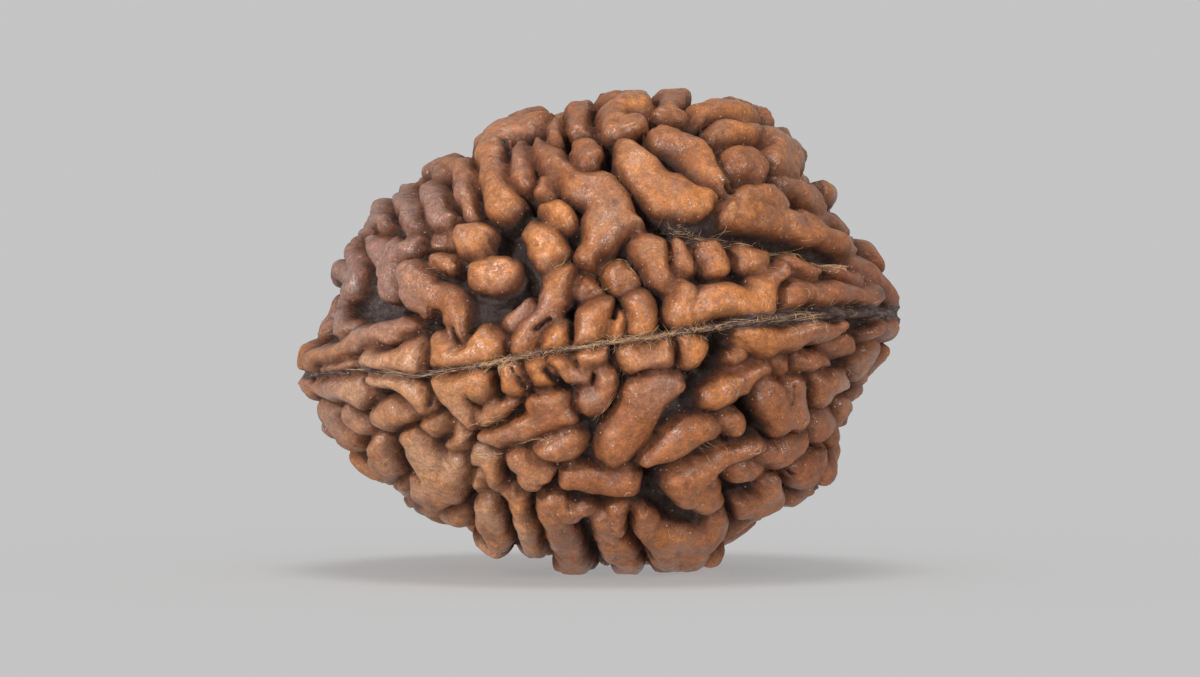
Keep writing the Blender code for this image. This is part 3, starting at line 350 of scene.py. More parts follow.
# Thin cracks between and across the folds, in mm: half-width, then points (x, z)
CRACK_DEPTH = 0.42
FULL_CRACK = 0.1  # the half-width that reaches this depth
# How dark the painted shade in the cracks is
CRACK_SHADE = 1.3
CRACKS = [
    (0.13, [(-1.95, -1.5), (-1.5, -2.0), (-0.9, -2.45)]), (0.09, [(-4.75, -2.55), (-4.4, -3.0)]),
    (0.1, [(-2.35, -0.05), (-1.85, 0.35)]), (0.12, [(-1.05, -0.45), (-1.1, 0.3), (-1.0, 0.9)]),
    (0.16, [(-3.75, -1.8), (-3.6, -2.55)]), (0.08, [(-2.75, -2.3), (-2.3, -2.45)]),
    (0.12, [(-5.3, -0.05), (-5.15, -0.5)]), (0.1, [(0.6, 0.9), (0.5, 0.35)]),
    (0.14, [(9.1, 0.15), (9.3, -0.15)]), (0.08, [(6.3, 6.1), (6.2, 5.7)]),
    (0.12, [(4.6, 5.25), (4.9, 5.1)]), (0.07, [(-0.25, 7.9), (0.0, 7.1)]),
    (0.12, [(-1.35, 7.3), (-1.2, 6.7)]), (0.13, [(-3.6, 7.0), (-3.45, 6.4)]),
    (0.09, [(-2.45, 5.9), (-2.4, 5.3)]), (0.12, [(-4.65, 5.3), (-4.55, 4.3)]),
    (0.08, [(-5.55, 5.0), (-5.5, 4.3)]), (0.07, [(-6.8, 5.0), (-6.8, 4.2)]),
    (0.11, [(-7.95, 4.5), (-7.7, 3.7), (-7.45, 3.35)]), (0.1, [(6.8, -5.2), (7.2, -5.5)]),
    (0.13, [(4.6, -6.0), (4.85, -6.8), (5.0, -7.4)]), (0.08, [(4.7, -5.95), (5.4, -6.05)]),
    (0.12, [(-0.3, -1.95), (-0.25, -1.75)]), (0.07, [(7.0, -2.1), (7.0, -2.9)]),
    (0.1, [(1.1, -7.0), (1.15, -7.6), (1.9, -8.5)]), (0.08, [(-0.5, -7.2), (-0.15, -8.3)]),
    (0.08, [(-4.85, -6.1), (-4.95, -7.0)]), (0.07, [(2.9, 7.35), (2.0, 7.45)]),
    (0.08, [(4.2, 6.4), (4.9, 6.85), (5.6, 6.9)]), (0.07, [(2.65, 3.3), (2.6, 2.4)]),
    (0.07, [(3.55, 3.1), (3.5, 2.2)]), (0.08, [(-0.95, -0.9), (-0.85, -1.4)]),
    (0.1, [(0.35, -0.7), (0.35, -1.2)]), (0.08, [(2.75, -0.55), (2.75, -1.2)]),
    (0.09, [(-6.2, -1.9), (-6.15, -2.8)]), (0.08, [(-8.6, -1.9), (-8.1, -2.5)]),
    (0.08, [(8.4, -4.6), (7.6, -4.5)]), (0.08, [(7.9, -1.9), (7.9, -2.8)]),
    (0.07, [(6.9, -4.0), (7.6, -3.9)]), (0.09, [(-3.1, -1.4), (-2.75, -2.1)]),
]

# Soft patches of colour as (x, z, radius, strength), in the drawing's mm
DUSTY_PATCHES = [
    (-7.5, 4.4, 1.9, 0.9), (-8.6, 2.5, 1.6, 0.9), (-6.2, 4.6, 1.4, 0.7), (-9.3, 0.5, 1.3, 0.9),
    (-7.6, 0.7, 1.0, 0.9), (-3.0, 1.0, 1.2, 0.7), (-9.9, -3.3, 1.0, 0.7), (2.3, -2.1, 1.0, 0.6),
    (-0.6, -2.2, 0.8, 0.4), (-9.8, -1.8, 0.7, 0.6), (-3.4, 6.3, 1.0, 0.35),
]
# Pale tan patches of the seed's own colour; on the lower-left lobes they also carry painted light
PALE_AND_PAINTED_LIGHT_PATCHES = [
    (-8.6, -2.3, 1.8, 0.8), (-6.2, -4.8, 1.9, 0.9), (-5.2, -2.5, 1.3, 0.5), (-7.8, -0.8, 1.3, 0.6),
    (-5.5, -3.9, 1.1, 0.8), (-3.4, -6.5, 1.4, 0.6), (0.3, 4.2, 1.1, 0.35), (2.0, 2.6, 1.0, 0.4),
    (-4.1, -7.3, 0.9, 0.7), (-2.8, -7.7, 0.7, 0.4), (9.2, -2.0, 0.8, 0.5),
]
# Painted light: patches where the folds' faces are made brighter and more orange, as if lit
PAINTED_LIGHT_PATCHES = [
    (-4.6, 3.3, 0.9, 1.0), (-3.8, 2.0, 1.0, 1.0), (-2.0, 3.2, 1.0, 1.0), (-1.5, 4.2, 0.7, 0.9),
    (3.5, 4.6, 1.1, 0.9), (-6.9, 1.8, 0.8, 0.6), (-3.8, 4.7, 0.7, 0.6), (-4.2, 6.7, 0.8, 0.5),
    (4.3, -2.4, 0.7, 0.7), (5.4, 1.0, 0.8, 0.9), (4.2, 0.9, 0.8, 0.8), (-1.6, 1.6, 0.7, 0.6),
    (7.3, -3.3, 0.6, 0.6), (-6.5, -5.2, 0.5, 0.7), (-3.9, -5.3, 0.6, 0.8), (-5.6, -7.1, 0.4, 0.8),
    (-3.2, -6.7, 0.6, 0.7), (6.2, -6.2, 0.8, 0.6), (2.8, -7.2, 0.7, 0.6), (1.2, 8.4, 0.6, 0.5),
    (1.2, 6.2, 0.6, 0.7), (5.0, 7.3, 0.7, 0.5),
]
RUDDY_PATCHES = [
    (8.5, -3.0, 3.0, 0.8), (9.5, 2.0, 2.2, 0.8), (6.0, -6.0, 2.4, 0.8), (1.5, -6.6, 2.6, 0.6),
    (9.0, 0.0, 2.0, 0.6), (1.4, -3.2, 1.6, 0.5),
]
STAINS = [
    (0.5, 4.5, 0.16, 0.9), (0.7, 7.15, 0.13, 0.8), (-6.7, -6.5, 0.28, 0.9), (-6.1, -6.4, 0.2, 0.6),
    (3.9, -5.8, 0.16, 0.9), (10.2, 1.3, 0.25, 0.9), (0.15, 3.2, 0.12, 0.7), (-1.3, -7.4, 0.4, 0.5),
    (2.3, -7.0, 0.3, 0.5), (1.6, -2.9, 0.3, 0.4), (-7.0, -5.0, 0.25, 0.6), (4.6, 5.4, 0.2, 0.6),
    (-2.2, -3.05, 0.22, 0.7), (-7.7, -5.6, 0.16, 0.6), (6.9, 5.0, 0.14, 0.6), (-2.1, 6.6, 0.14, 0.6),
]

# Colours
BROWN = (0.33, 0.111, 0.038, 1)
ORANGE = (0.56, 0.202, 0.052, 1)
FILM = (0.32, 0.14, 0.08, 1)
RUDDY = (0.32, 0.095, 0.032, 1)
PALE = (0.6, 0.31, 0.165, 1)
MAUVE = (0.34, 0.19, 0.15, 1)
STAIN = (0.06, 0.03, 0.028, 1)
# Painted shade: the brown of the folds' flanks and grooves, and the near-black of the grooves' floors and the
# creases
PAINTED_SHADE_BROWN = (0.14, 0.046, 0.02, 1)
PAINTED_SHADE_DARK = (0.045, 0.027, 0.022, 1)
GROOVE_DUST = (0.56, 0.45, 0.43, 1)
SEAM_DARK = (0.06, 0.038, 0.035, 1)
SEAM_STREAK = (0.2, 0.125, 0.1, 1)
# Specks: partly dust flecks, partly painted glints
DUST_AND_GLINT_SPECK = (0.75, 0.62, 0.47, 1)

FIBRE_STRAW = (0.85, 0.55, 0.3, 1)
FIBRE_BROWN = (0.26, 0.14, 0.085, 1)

# The noises of the stone's colours: scale, detail and roughness
NOISES = {
    "broad": (0.5, 3, 0.55), "medium": (1.7, 4, 0.6), "fine": (7, 4, 0.65), "grain": (13, 4, 0.75),
    "cloudy": (3.2, 3, 0.6),
}

# Colours over the folds: their patches, the noise that breaks them up, its range, their share at its ends
COLOUR_LAYERS = [
    ("ruddy", "medium", (0.3, 0.7), (0.25, 0.8), RUDDY),
    ("pale", "broad", (0.3, 0.65), (0.35, 0.95), PALE),
    ("dusty", "fine", (0.25, 0.7), (0.55, 0.95), MAUVE),
    ("stain", "fine", (0.25, 0.6), (0.4, 1), STAIN),
]

# How dark and how light these noises make the colours
MOTTLE = [("cloudy", 0.78, 1.2), ("fine", 0.86, 1.12), ("grain", 0.74, 1.22)]

# Pale specks, partly dust and partly painted glints, and the surface with its bump heights in mm
SPECK_SCALE = 4.6
SPECKLESS = 0.72  # the share of the cells without a speck
SPECK_STRENGTH = 0.55
STONE_BUMP = 0.13
WAX_BUMP = 0.05
BUMP_STRENGTH = 0.9
WAX_ROUGHNESS = 0.21
WAX_GLOSS = 1.6  # as an index of refraction

# The fibres, in mm
STRAND_TAPER = (0.35, 0.8, 1, 1, 1, 0.75, 0.3)
STRAND_POINTS = len(STRAND_TAPER)
PATH_STEPS = 200
FIBRE_RADII = (0.005, 0.01)
TUFT_SPACING = 0.4
TUFT_LENGTH = 0.3
STRAND_BOW = 0.3  # of a strand's lift
STRAND_UNEVENNESS = 0.01
FRAYED_CURL = 1.2  # radians
FRAYED_FOOT = 0.02
FIBRE_CLEARANCE = 0.02

# Strands as a path of (x, z) on the drawing, how many, their lengths, their spread across it, their lift,
# and for those that lie along it their turn in radians
LAID_STRANDS = [
    (SEAM[:9], 34, (0.4, 1.4), 0.05, 0.02, 0.12),
    (SEAM[7:20], 110, (0.3, 1.3), 0.04, 0.02, 0.16),
    (SEAM[19:24], 40, (0.3, 1.2), 0.13, 0.03, 0.12),
    ([(-4.2, -1.35), (-3.5, -1.2), (-2.4, -0.95)], 45, (0.25, 0.8), 0.09, 0.08, 0.4),
    ([(-0.4, -0.6), (0.4, -0.5), (2.4, -0.2)], 50, (0.25, 0.8), 0.08, 0.08, 0.35),
    ([(2.3, 4.1), (3.0, 3.8), (4.0, 3.6), (5.0, 3.4), (5.8, 3.15)], 60, (0.3, 0.9), 0.08, 0.01, 0.12),
    ([(5.2, 3.35), (6.8, 2.97), (7.6, 2.9), (8.2, 2.55), (8.95, 2.2)], 130, (0.4, 1.4), 0.07, 0.04, 0.1),
    ([(0.0, 2.3), (0.5, 2.65), (0.9, 2.7), (1.3, 2.2), (1.9, 1.5)], 12, (0.3, 0.8), 0.03, 0.01, 0.08),
    ([(-4.7, -3.5), (-4.0, -3.35), (-3.2, -3.0)], 16, (0.3, 0.8), 0.06, 0.03, 0.3),
    ([(-4.9, -4.55), (-4.2, -4.65), (-3.7, -4.8)], 18, (0.4, 1.0), 0.05, 0.06, 0.15),
    ([(-3.3, -4.3), (-2.6, -4.15), (-1.9, -4.05)], 14, (0.3, 0.8), 0.04, 0.03, 0.2),
    ([(2.3, -5.25), (3.7, -4.65), (4.6, -4.4)], 10, (0.15, 0.5), 0.06, 0.01, 0.3),
    ([(4.6, -4.6), (5.5, -4.5), (6.1, -4.1)], 6, (0.2, 0.7), 0.07, 0.04, 0.3),
    ([(4.3, -0.4), (3.8, -1.3), (3.5, -1.9)], 14, (0.3, 0.9), 0.1, 0.02, 0.2),
    ([(0.9, -1.4), (0.6, -2.4), (0.1, -3.1), (-0.4, -3.7)], 20, (0.5, 1.4), 0.07, 0.02, 0.15),
    ([(-1.7, 2.2), (-1.3, 2.5), (-1.0, 2.9)], 14, (0.3, 0.7), 0.05, 0.04, 0.3),
    ([(-6.4, 2.3), (-6.25, 2.0)], 8, (0.2, 0.5), 0.07, 0.04, 0.5),
    ([(-0.7, 2.3), (0.0, 1.9), (0.1, 1.5)], 10, (0.3, 0.9), 0.06, 0.02, 0.3),
]
LOOSE_STRANDS = [
    (SEAM[7:20], 190, (0.08, 0.35), 0.07, 0.1),
    ([(-3.7, -1.4), (-3.2, -1.2)], 45, (0.15, 0.5), 0.12, 0.15),
    ([(0.2, -0.55), (0.8, -0.45)], 35, (0.15, 0.5), 0.1, 0.2),
    ([(2.2, -0.3), (4.6, 0.0)], 70, (0.15, 0.45), 0.12, 0.2),
    ([(4.6, 0.2), (9.0, 0.6)], 50, (0.15, 0.4), 0.25, 0.1),
    ([(3.0, 3.75), (5.8, 3.2), (8.9, 2.3)], 60, (0.08, 0.28), 0.12, 0.08),
    ([(2.6, -5.1), (5.8, -4.2)], 10, (0.06, 0.2), 0.08, 0.05),
    ([(-10, 0), (10, 1)], 90, (0.1, 0.3), 3.5, 0.05),
]
BACK_STRANDS = (SEAM, 160, (0.5, 1.8), 0.09, 0.05, 0.15)

# The studio
FLOOR_GREY = 0.38
FLOOR_GLOW = 0.313
FLOOR_HALF_SIDE = 4  # m
WORLD_STRENGTH = 0.35

# The lights: name, azimuth clockwise from the camera's side, elevation and width in degrees, strength, and
# whether the light is only for the seed
LIGHTS = [
    ("key", -46, 27, 5, 1.65, True), ("fill", 46, 18, 6, 1.1, True), ("low", -26, -9, 34, 1.25, True),
    ("overhead", 0, 86, 25, 0.9, False),
]

# The camera
FOCAL_LENGTH = 500
SENSOR_WIDTH = 36
PICTURE_WIDTH = 1200 / 27.5  # mm
PICTURE_MIDDLE = (-0.036, -0.382)  # of the drawing


def lattice_noise(points, wave, seed):
    """Smooth noise between -1 and 1 at points, from random values on a lattice with this spacing."""
    lattice = np.random.default_rng(seed).uniform(-1, 1, (NOISE_CELLS,) * 3)
    cell = np.floor(points / wave).astype(int)
    part = points / wave - cell
    part = part * part * (3 - 2 * part)
    total = np.zeros(len(points))
    for corner in itertools.product((0, 1), repeat=3):
        share = np.prod(np.where(corner, part, 1 - part), axis=1)
        i, j, k = ((cell + corner) % NOISE_CELLS).T
        total += share * lattice[i, j, k]
    return total


def outline_radii():
    """The outline's distance from the middle at each whole degree, with its corners rounded."""
    x, z = np.array(OUTLINE).T
    angles = np.degrees(np.arctan2(z, x))
    degrees = np.arange(360)
    radii = np.interp(degrees, angles, np.hypot(x, z), period=360)
    apart = (degrees + 180) % 360 - 180
    kernel = np.exp(-0.5 * (apart / OUTLINE_SMOOTHING) ** 2)
    smooth = np.fft.ifft(np.fft.fft(radii) * np.fft.fft(kernel / kernel.sum()))
    return smooth.real


RADII = outline_radii()


def outline_radius(x, z):
    """The outline's distance from the middle in the direction of (x, z)."""
    return np.interp(np.degrees(np.arctan2(z, x)), np.arange(360), RADII, period=360)


def skin_radius(directions):
    """The skin's distance from the middle in each unit direction."""
    x, y, z = directions.T
    across = np.hypot(x, z) / outline_radius(x, z)
    return 1 / np.hypot(across, y / HALF_DEPTH)


def unit(points):
    return points / np.linalg.norm(points, axis=1, keepdims=True)


def on_skin(points):
    """Points moved straight from or to the middle until they are on the skin."""
    directions = unit(points)
    return directions * skin_radius(directions)[:, None]


def drawn_on_skin(x, z):
    """The skin's point behind (x, z) of the drawing, or round the back where it is outside the outline."""
    reach = math.hypot(x, z) / float(outline_radius(x, z))
    if reach <= 1:
        return (x, -HALF_DEPTH * math.sqrt(1 - reach**2), z)
    back = 2 - reach
    return (x * back / reach, HALF_DEPTH * math.sqrt(1 - back**2), z * back / reach)


def smooth_chain(points, widths):
    """Close points along a smooth curve on the skin through the given ones, each with its half-width."""
    knots = np.column_stack([points, widths])
    if len(knots) == 1:
        return knots + (0, 0, 0, PLUMPNESS)
    before = 2 * knots[0] - knots[1]
    after = 2 * knots[-1] - knots[-2]
    knots = np.vstack([before, knots, after])
    chain = []
    for a, b, c, d in zip(knots, knots[1:], knots[2:], knots[3:]):
        steps = max(2, math.ceil(np.linalg.norm(c[:3] - b[:3]) / CHAIN_STEP))
        t = np.linspace(0, 1, steps, endpoint=False)[:, None]
        chain.append(0.5 * (2 * b + (c - a) * t + (2 * a - 5 * b + 4 * c - d) * t**2
                            + (3 * b - a - 3 * c + d) * t**3))
    chain.append(knots[-2:-1])
    chain = np.vstack(chain)
    chain[:, :3] = on_skin(chain[:, :3])
    chain[:, 3] += PLUMPNESS
    return chain


def drawn_fold(fold):
    """A drawn fold as (rise, chain of points and half-widths)."""
    rise, *strokes = fold
    chains = []
    for stroke in strokes:
        points = np.array([drawn_on_skin(x, z) for x, z, _ in stroke])
        chains.append(smooth_chain(points, np.array([width for _, _, width in stroke])))
    return rise, np.vstack(chains)


def edge_folds(drawn):
    """Short folds across the outline, each one carrying on a drawn fold that comes near it."""
    rng = np.random.default_rng(8)
    folds = []
    for rise, *strokes in drawn:
        for stroke in strokes:
            x, z, width = max(stroke, key=lambda at: math.hypot(at[0], at[1]) / outline_radius(at[0], at[1]))
            reach = math.hypot(x, z) / float(outline_radius(x, z))
            if not EDGE_REACH < reach <= 1:
                continue
            _, y, _ = drawn_on_skin(x, z)
            sideways = np.array((-z, 0, x)) / math.hypot(x, z)
            points = np.array([(x, 0.3 * y, z), (x, 0, z), (x, -0.3 * y, z)])
            points += sideways * rng.normal(0, EDGE_SHIFT, (3, 1))
            chain = smooth_chain(on_skin(points), width * rng.uniform(0.9, 1.15, 3))
            folds.append((rise + rng.uniform(-0.1, 0.05), chain))
    return folds


def front_folds():
    drawn = (UPPER_LEFT_FOLDS + UPPER_MIDDLE_FOLDS + UPPER_RIGHT_FOLDS + MIDDLE_FOLDS + FOLDS_ABOVE_SEAM
             + FOLDS_BELOW_SEAM + LOWER_LEFT_FOLDS + LOWER_MIDDLE_FOLDS + LOWER_RIGHT_FOLDS)
    return [drawn_fold(fold) for fold in drawn] + edge_folds(drawn)


def nearest(points, chain):
    """The distance from each point to the nearest of a chain's points."""
    found = np.full(len(points), np.inf)
    for link in chain:
        found = np.minimum(found, np.linalg.norm(points - link[:3], axis=1))
    return found


def seam_chains():
    """The front seam, and the back seam that mirrors it through the seed."""
    front = np.array([drawn_on_skin(x, z) for x, z in SEAM])
    back = front * (1, -1, 1)
    none = np.zeros(len(SEAM))
    return smooth_chain(front, none), smooth_chain(back, none)


def has_room(point, width, taken):
    gaps = np.linalg.norm(taken[:, :3] - point, axis=1) / (width + taken[:, 3])
    return point[1] > BACK_FROM and gaps.min() > PACKING


def grown(start, way, width, taken, rng):
    """Points of a fold that grows one way from its start until it meets another fold."""
    points = [start]
    for _ in range(rng.integers(1, LONGEST + 1)):
        way = way - way @ points[-1] * points[-1] / (points[-1] @ points[-1])
        way /= np.linalg.norm(way)
        ahead = on_skin((points[-1] + STEP * way)[None])[0]
        if not has_room(ahead, width, taken):
            break
        points.append(ahead)
        way = way + TURNING * rng.normal(size=3)
    return points


def back_folds(front, back_seam):
    """Folds that fill the back: a row along each side of its seam, then wide and narrow ones between."""
    rng = np.random.default_rng(4)
    taken = np.vstack([chain for _, chain in front] + [back_seam - (0, 0, 0, PLUMPNESS + SEAM_OVERLAP)])
    folds = []
    starts = []
    for link in back_seam[::ROW_SPACING]:
        for side in (1, -1):
            at = link[:3] + (rng.uniform(-0.4, 0.4), 0, side * SEAM_CLEARANCE)
            starts.append((at, np.array((rng.normal(), 0, 4 * side)), rng.uniform(0.3, 0.5), False))
    for width in np.linspace(WIDEST, NARROWEST, TRIES):
        starts.append((rng.normal(size=3), rng.normal(size=3), width, True))
    for at, way, width, both_ways in starts:
        start = on_skin(at[None])[0]
        room = width + PLUMPNESS
        if not has_room(start, room, taken):
            continue
        points = grown(start, way, room, taken, rng)
        if both_ways:
            points = grown(start, -way, room, taken, rng)[:0:-1] + points
        chain = smooth_chain(np.array(points), width * rng.uniform(0.85, 1.1, len(points)))
        low = RIM_LOWERING * (1 - smoothstep(1, RIM_TO, chain[:, 1].mean()))
        folds.append((rng.uniform(-0.2, 0.05) - low, chain))
        taken = np.vstack([taken, chain])
    return folds


def smoothstep(low, high, value):
    t = np.clip((value - low) / (high - low), 0, 1)
    return t * t * (3 - 2 * t)


def pit_depth(points):
    """How much deeper the grooves are at each point, where folds leave a pit between them."""
    deeper = np.zeros(len(points))
    for x, z, reach in PITS:
        middle = drawn_on_skin(x, z)
        away = np.linalg.norm((points - middle) * (1, SLANT, 1), axis=1)
        deeper = np.maximum(deeper, PIT_DEPTH * smoothstep(reach, 0.4 * reach, away))
    return deeper


def relief(directions, folds, seams):
    """The seed's radius in each unit direction, and what shaped it."""
    skin = directions * skin_radius(directions)[:, None]
    warp = np.column_stack([lattice_noise(skin, WARP_WAVE, seed) for seed in (11, 12, 13)])
    stronger = 1 + EDGE_WARP * np.exp(-((skin[:, 1:2] / RIM_TO) ** 2))
    fine_warp = np.column_stack([lattice_noise(skin, FINE_WARP_WAVE, seed) for seed in (14, 15, 16)])
    points = skin + WARP * stronger * warp + FINE_WARP * fine_warp
    count = len(points)
    best = np.full(count, -REACH)
    second = np.full(count, -REACH)
    owner = np.full(count, -1)
    weight = np.full(count, 1e-9)
    rise = np.zeros(count)
    width = np.full(count, 1e-9 * NARROW_FOLD)
    for index, (fold_rise, chain) in enumerate(folds):
        middle = chain[:, :3].mean(axis=0)
        faces_front = chain[:, 1].max() < -0.1
        scale = (1, SLANT, 1) if faces_front else (1, 1, 1)
        reach = np.linalg.norm(chain[:, :3] - middle, axis=1).max() + (chain[:, 3].max() + REACH) / SLANT
        near = np.flatnonzero(((points - middle) ** 2).sum(axis=1) < reach**2)
        inside = np.full(len(near), -np.inf)
        own_width = np.zeros(len(near))
        for link in chain:
            here = link[3] - np.linalg.norm((points[near] - link[:3]) * scale, axis=1)
            closer = here > inside
            inside[closer] = here[closer]
            own_width[closer] = link[3]
        share = np.exp(np.maximum(inside, -REACH) / BLEND)
        weight[near] += share
        rise[near] += share * fold_rise
        width[near] += share * own_width
        first = inside > best[near]
        second[near] = np.where(first, best[near], np.maximum(second[near], inside))
        best[near] = np.where(first, inside, best[near])
        owner[near[first]] = index
    rise /= weight
    width /= weight
    wobble = WOBBLE * lattice_noise(skin, WOBBLE_WAVE, 17)
    best += wobble
    second += wobble
    edge = np.minimum(best, (best - second) / 2 + MERGING * np.maximum(second, 0))
    slope = np.clip(edge / (ROUNDING * width), 0, 1)
    groove = GROOVE_DEPTH * np.minimum(1, width / NARROW_FOLD) ** 0.7
    depth = groove * (1 - np.sqrt(1 - (1 - slope) ** 2))
    depth += (FLOOR_DEPTH - groove) * smoothstep(0, FLOOR_REACH, -best)
    depth += pit_depth(points) * smoothstep(-PIT_EDGE, PIT_EDGE, -edge)
    to_seam = np.minimum(nearest(skin, seams[0]), nearest(skin, seams[1]))
    band = SEAM_BAND + (WIDE_SEAM_BAND - SEAM_BAND) * smoothstep(WIDE_SEAM_FROM, WIDE_SEAM_TO, skin[:, 0])
    limit = SEAM_DEPTH + (FLOOR_DEPTH - SEAM_DEPTH) * smoothstep(SEAM_HALF_WIDTH, band, to_seam)
    depth = np.minimum(depth, limit)
    rim = smoothstep(RIM_FROM, RIM_TO, np.abs(skin[:, 1]))
    depth = np.minimum(depth, RIM_DEPTH + (FLOOR_DEPTH - RIM_DEPTH) * rim)
    depth += SEAM_GROOVE * np.maximum(0, 1 - (to_seam / SEAM_GROOVE_REACH) ** 2)
    keel = KEEL_RISE * np.exp(-((to_seam / KEEL_REACH) ** 2))
    swell = SWELL * lattice_noise(skin, SWELL_WAVE, 21)
    radius = np.linalg.norm(skin, axis=1) + rise + keel - depth + swell
    return radius, {"owner": owner, "depth": depth, "edge": edge, "to_seam": to_seam}


def tipped(points):
    """Points of the drawing's frame turned to how the seed lies."""
    level = math.cos(math.radians(LEAN))
    rise = math.sin(math.radians(LEAN))
    x, y, z = points.T
    return np.column_stack([x, y * level + z * rise, z * level - y * rise])


def untipped(points):
    """Points of how the seed lies turned back to the drawing's frame."""
    level = math.cos(math.radians(LEAN))
    rise = math.sin(math.radians(LEAN))
    x, y, z = points.T
    return np.column_stack([x, y * level - z * rise, z * level + y * rise])


def free_room(points, chain, free):
    """The distance from each point to the nearest fold's edge, once this chain is there too."""
    for link in chain:
        free = np.minimum(free, np.linalg.norm(points - link[:3], axis=1) - link[3])
    return free


def gap_folds(folds, back_seam):
    """Small low folds in the gaps that the others leave at the sides and the back."""
    rng = np.random.default_rng(GAP_SEED)
    starts = on_skin(rng.normal(size=(GAP_TRIES, 3)))
    starts = starts[starts[:, 1] > GAP_FROM]
    taken = np.vstack([chain for _, chain in folds] + [back_seam - (0, 0, 0, PLUMPNESS + SEAM_OVERLAP)])
    free = free_room(starts, taken, np.full(len(starts), np.inf))
    small = []
    while free.max() > GAP_NARROWEST:
        pick = int(np.argmax(free))
        width = min(free[pick], GAP_WIDEST)
        away = np.linalg.norm(starts - starts[pick], axis=1)
        right_length = (away > GAP_LENGTHS[0]) & (away < GAP_LENGTHS[1])
        ends = np.flatnonzero(right_length & (free > GAP_TAPER * width))
        points = starts[[pick]]
        if len(ends):
            points = starts[[pick, rng.choice(ends)]]
        chain = smooth_chain(points, np.full(len(points), width - PLUMPNESS))
        low = RIM_LOWERING * (1 - smoothstep(1, RIM_TO, chain[:, 1].mean()))
        small.append((rng.uniform(*GAP_RISE) - low, chain))
        free = free_room(starts, chain, free)
    return small


class Form:
    """The seed's folds and cracks, and how far its drawing is moved so that it lies on the table."""

    def __init__(self):
        self.seams = seam_chains()
        front = front_folds()
        self.folds = front + back_folds(front, self.seams[1])
        self.folds += gap_folds(self.folds, self.seams[1])
        self.cracks = []
        for half_width, points in CRACKS:
            corners = np.array([drawn_on_skin(x, z) for x, z in points])
            chain = smooth_chain(corners, np.full(len(corners), half_width))[:, :3]
            self.cracks.append((half_width, on_skin(chain)))
        self.shift = np.zeros(3)

    def surface(self, directions):
        """The seed's surface in each direction, in mm, as drawn."""
        directions = unit(directions)
        radius, shaped = relief(directions, self.folds, self.seams)
        skin = directions * skin_radius(directions)[:, None]
        cracked = self.crack_depth(skin)
        shaped["depth"] += cracked
        shaped["crack"] = cracked / CRACK_DEPTH
        ridge = smoothstep(*RIDGE_STARTS, skin[:, 0]) * smoothstep(*RIDGE_ENDS, skin[:, 0])
        radius += SEAM_RIDGE * ridge * np.exp(-((shaped["to_seam"] / SEAM_RIDGE_REACH) ** 2))
        return directions * (radius - cracked)[:, None], shaped

    def crack_depth(self, skin):
        """How deep the thin cracks are at each point of the skin."""
        depth = np.zeros(len(skin))
        for half_width, chain in self.cracks:
            middle = chain.mean(axis=0)
            reach = np.linalg.norm(chain - middle, axis=1).max() + 3 * half_width
            near = np.flatnonzero(((skin - middle) ** 2).sum(axis=1) < reach**2)
            away = nearest(skin[near], chain)
            here = CRACK_DEPTH * min(1, half_width / FULL_CRACK) * smoothstep(1.5 * half_width, 0, away)
            depth[near] = np.maximum(depth[near], here)
        return depth

    def laid(self, points):
        """Drawn points in the row's frame, in metres."""
        return (tipped(points) + self.shift) * MM

    def drawn(self, points):
        """Points of the row's frame, in metres, as drawn."""
        return untipped(points / MM - self.shift)


def mesh_points(mesh):
    points = np.empty(len(mesh.vertices) * 3, np.float32)
    mesh.vertices.foreach_get("co", points)
    return points.reshape(-1, 3).astype(float)


def set_points(mesh, points):
    mesh.vertices.foreach_set("co", points.astype(np.float32).ravel())


def mesh_normals(mesh):
    normals = np.empty(len(mesh.vertices) * 3, np.float32)
    mesh.vertex_normals.foreach_get("vector", normals)
    return normals.reshape(-1, 3).astype(float)


def patches(points, spots):
    """How much each drawn point is in any of these soft round patches of (x, z, radius, strength)."""
    total = np.zeros(len(points))
    for x, z, radius, strength in spots:
        total += strength * np.exp(-(((points[:, 0] - x) ** 2 + (points[:, 2] - z) ** 2) / radius**2))
    return np.clip(total, 0, 1)


def store(mesh, name, values):
    attribute = mesh.attributes.new(name, "FLOAT", "POINT")
    attribute.data.foreach_set("value", values.astype(np.float32))


def store_place(mesh, drawn):
    """Keeps the drawn points in the mesh, for the patterns of its material."""
    place = mesh.attributes.new("place", "FLOAT_VECTOR", "POINT")
    place.data.foreach_set("vector", drawn.astype(np.float32).ravel())


def placed(name, data):
    """A new object in the scene."""
    made = bpy.data.objects.new(name, data)
    bpy.context.scene.collection.objects.link(made)
    return made


def evaluated(draft):
    """A new mesh with an object's modifiers applied, in place of the object."""
    mesh = bpy.data.meshes.new_from_object(draft.evaluated_get(bpy.context.evaluated_depsgraph_get()))
    bpy.data.objects.remove(draft)
    return mesh


def even_mesh(form):
    """The folds' surface as an even mesh of small faces."""
    ball = bmesh.new()
    bmesh.ops.create_icosphere(ball, subdivisions=FINE_STEPS, radius=1)
    mesh = bpy.data.meshes.new("ball")
    ball.to_mesh(mesh)
    ball.free()
    points, _ = form.surface(mesh_points(mesh))
    lying = tipped(points)
    low = lying.min(axis=0)
    high = lying.max(axis=0)
    form.shift = -np.array(((low[0] + high[0]) / 2, (low[1] + high[1]) / 2, low[2] + FLAT_SPOT))
    set_points(mesh, form.laid(points))
    draft = placed("draft", mesh)
    remesh = draft.modifiers.new("remesh", "REMESH")
    remesh.mode = "VOXEL"
    remesh.voxel_size = VOXEL * MM
    smooth = draft.modifiers.new("smooth", "SMOOTH")
    smooth.factor = 0.5
    smooth.iterations = SMOOTHING_STEPS
    return evaluated(draft)


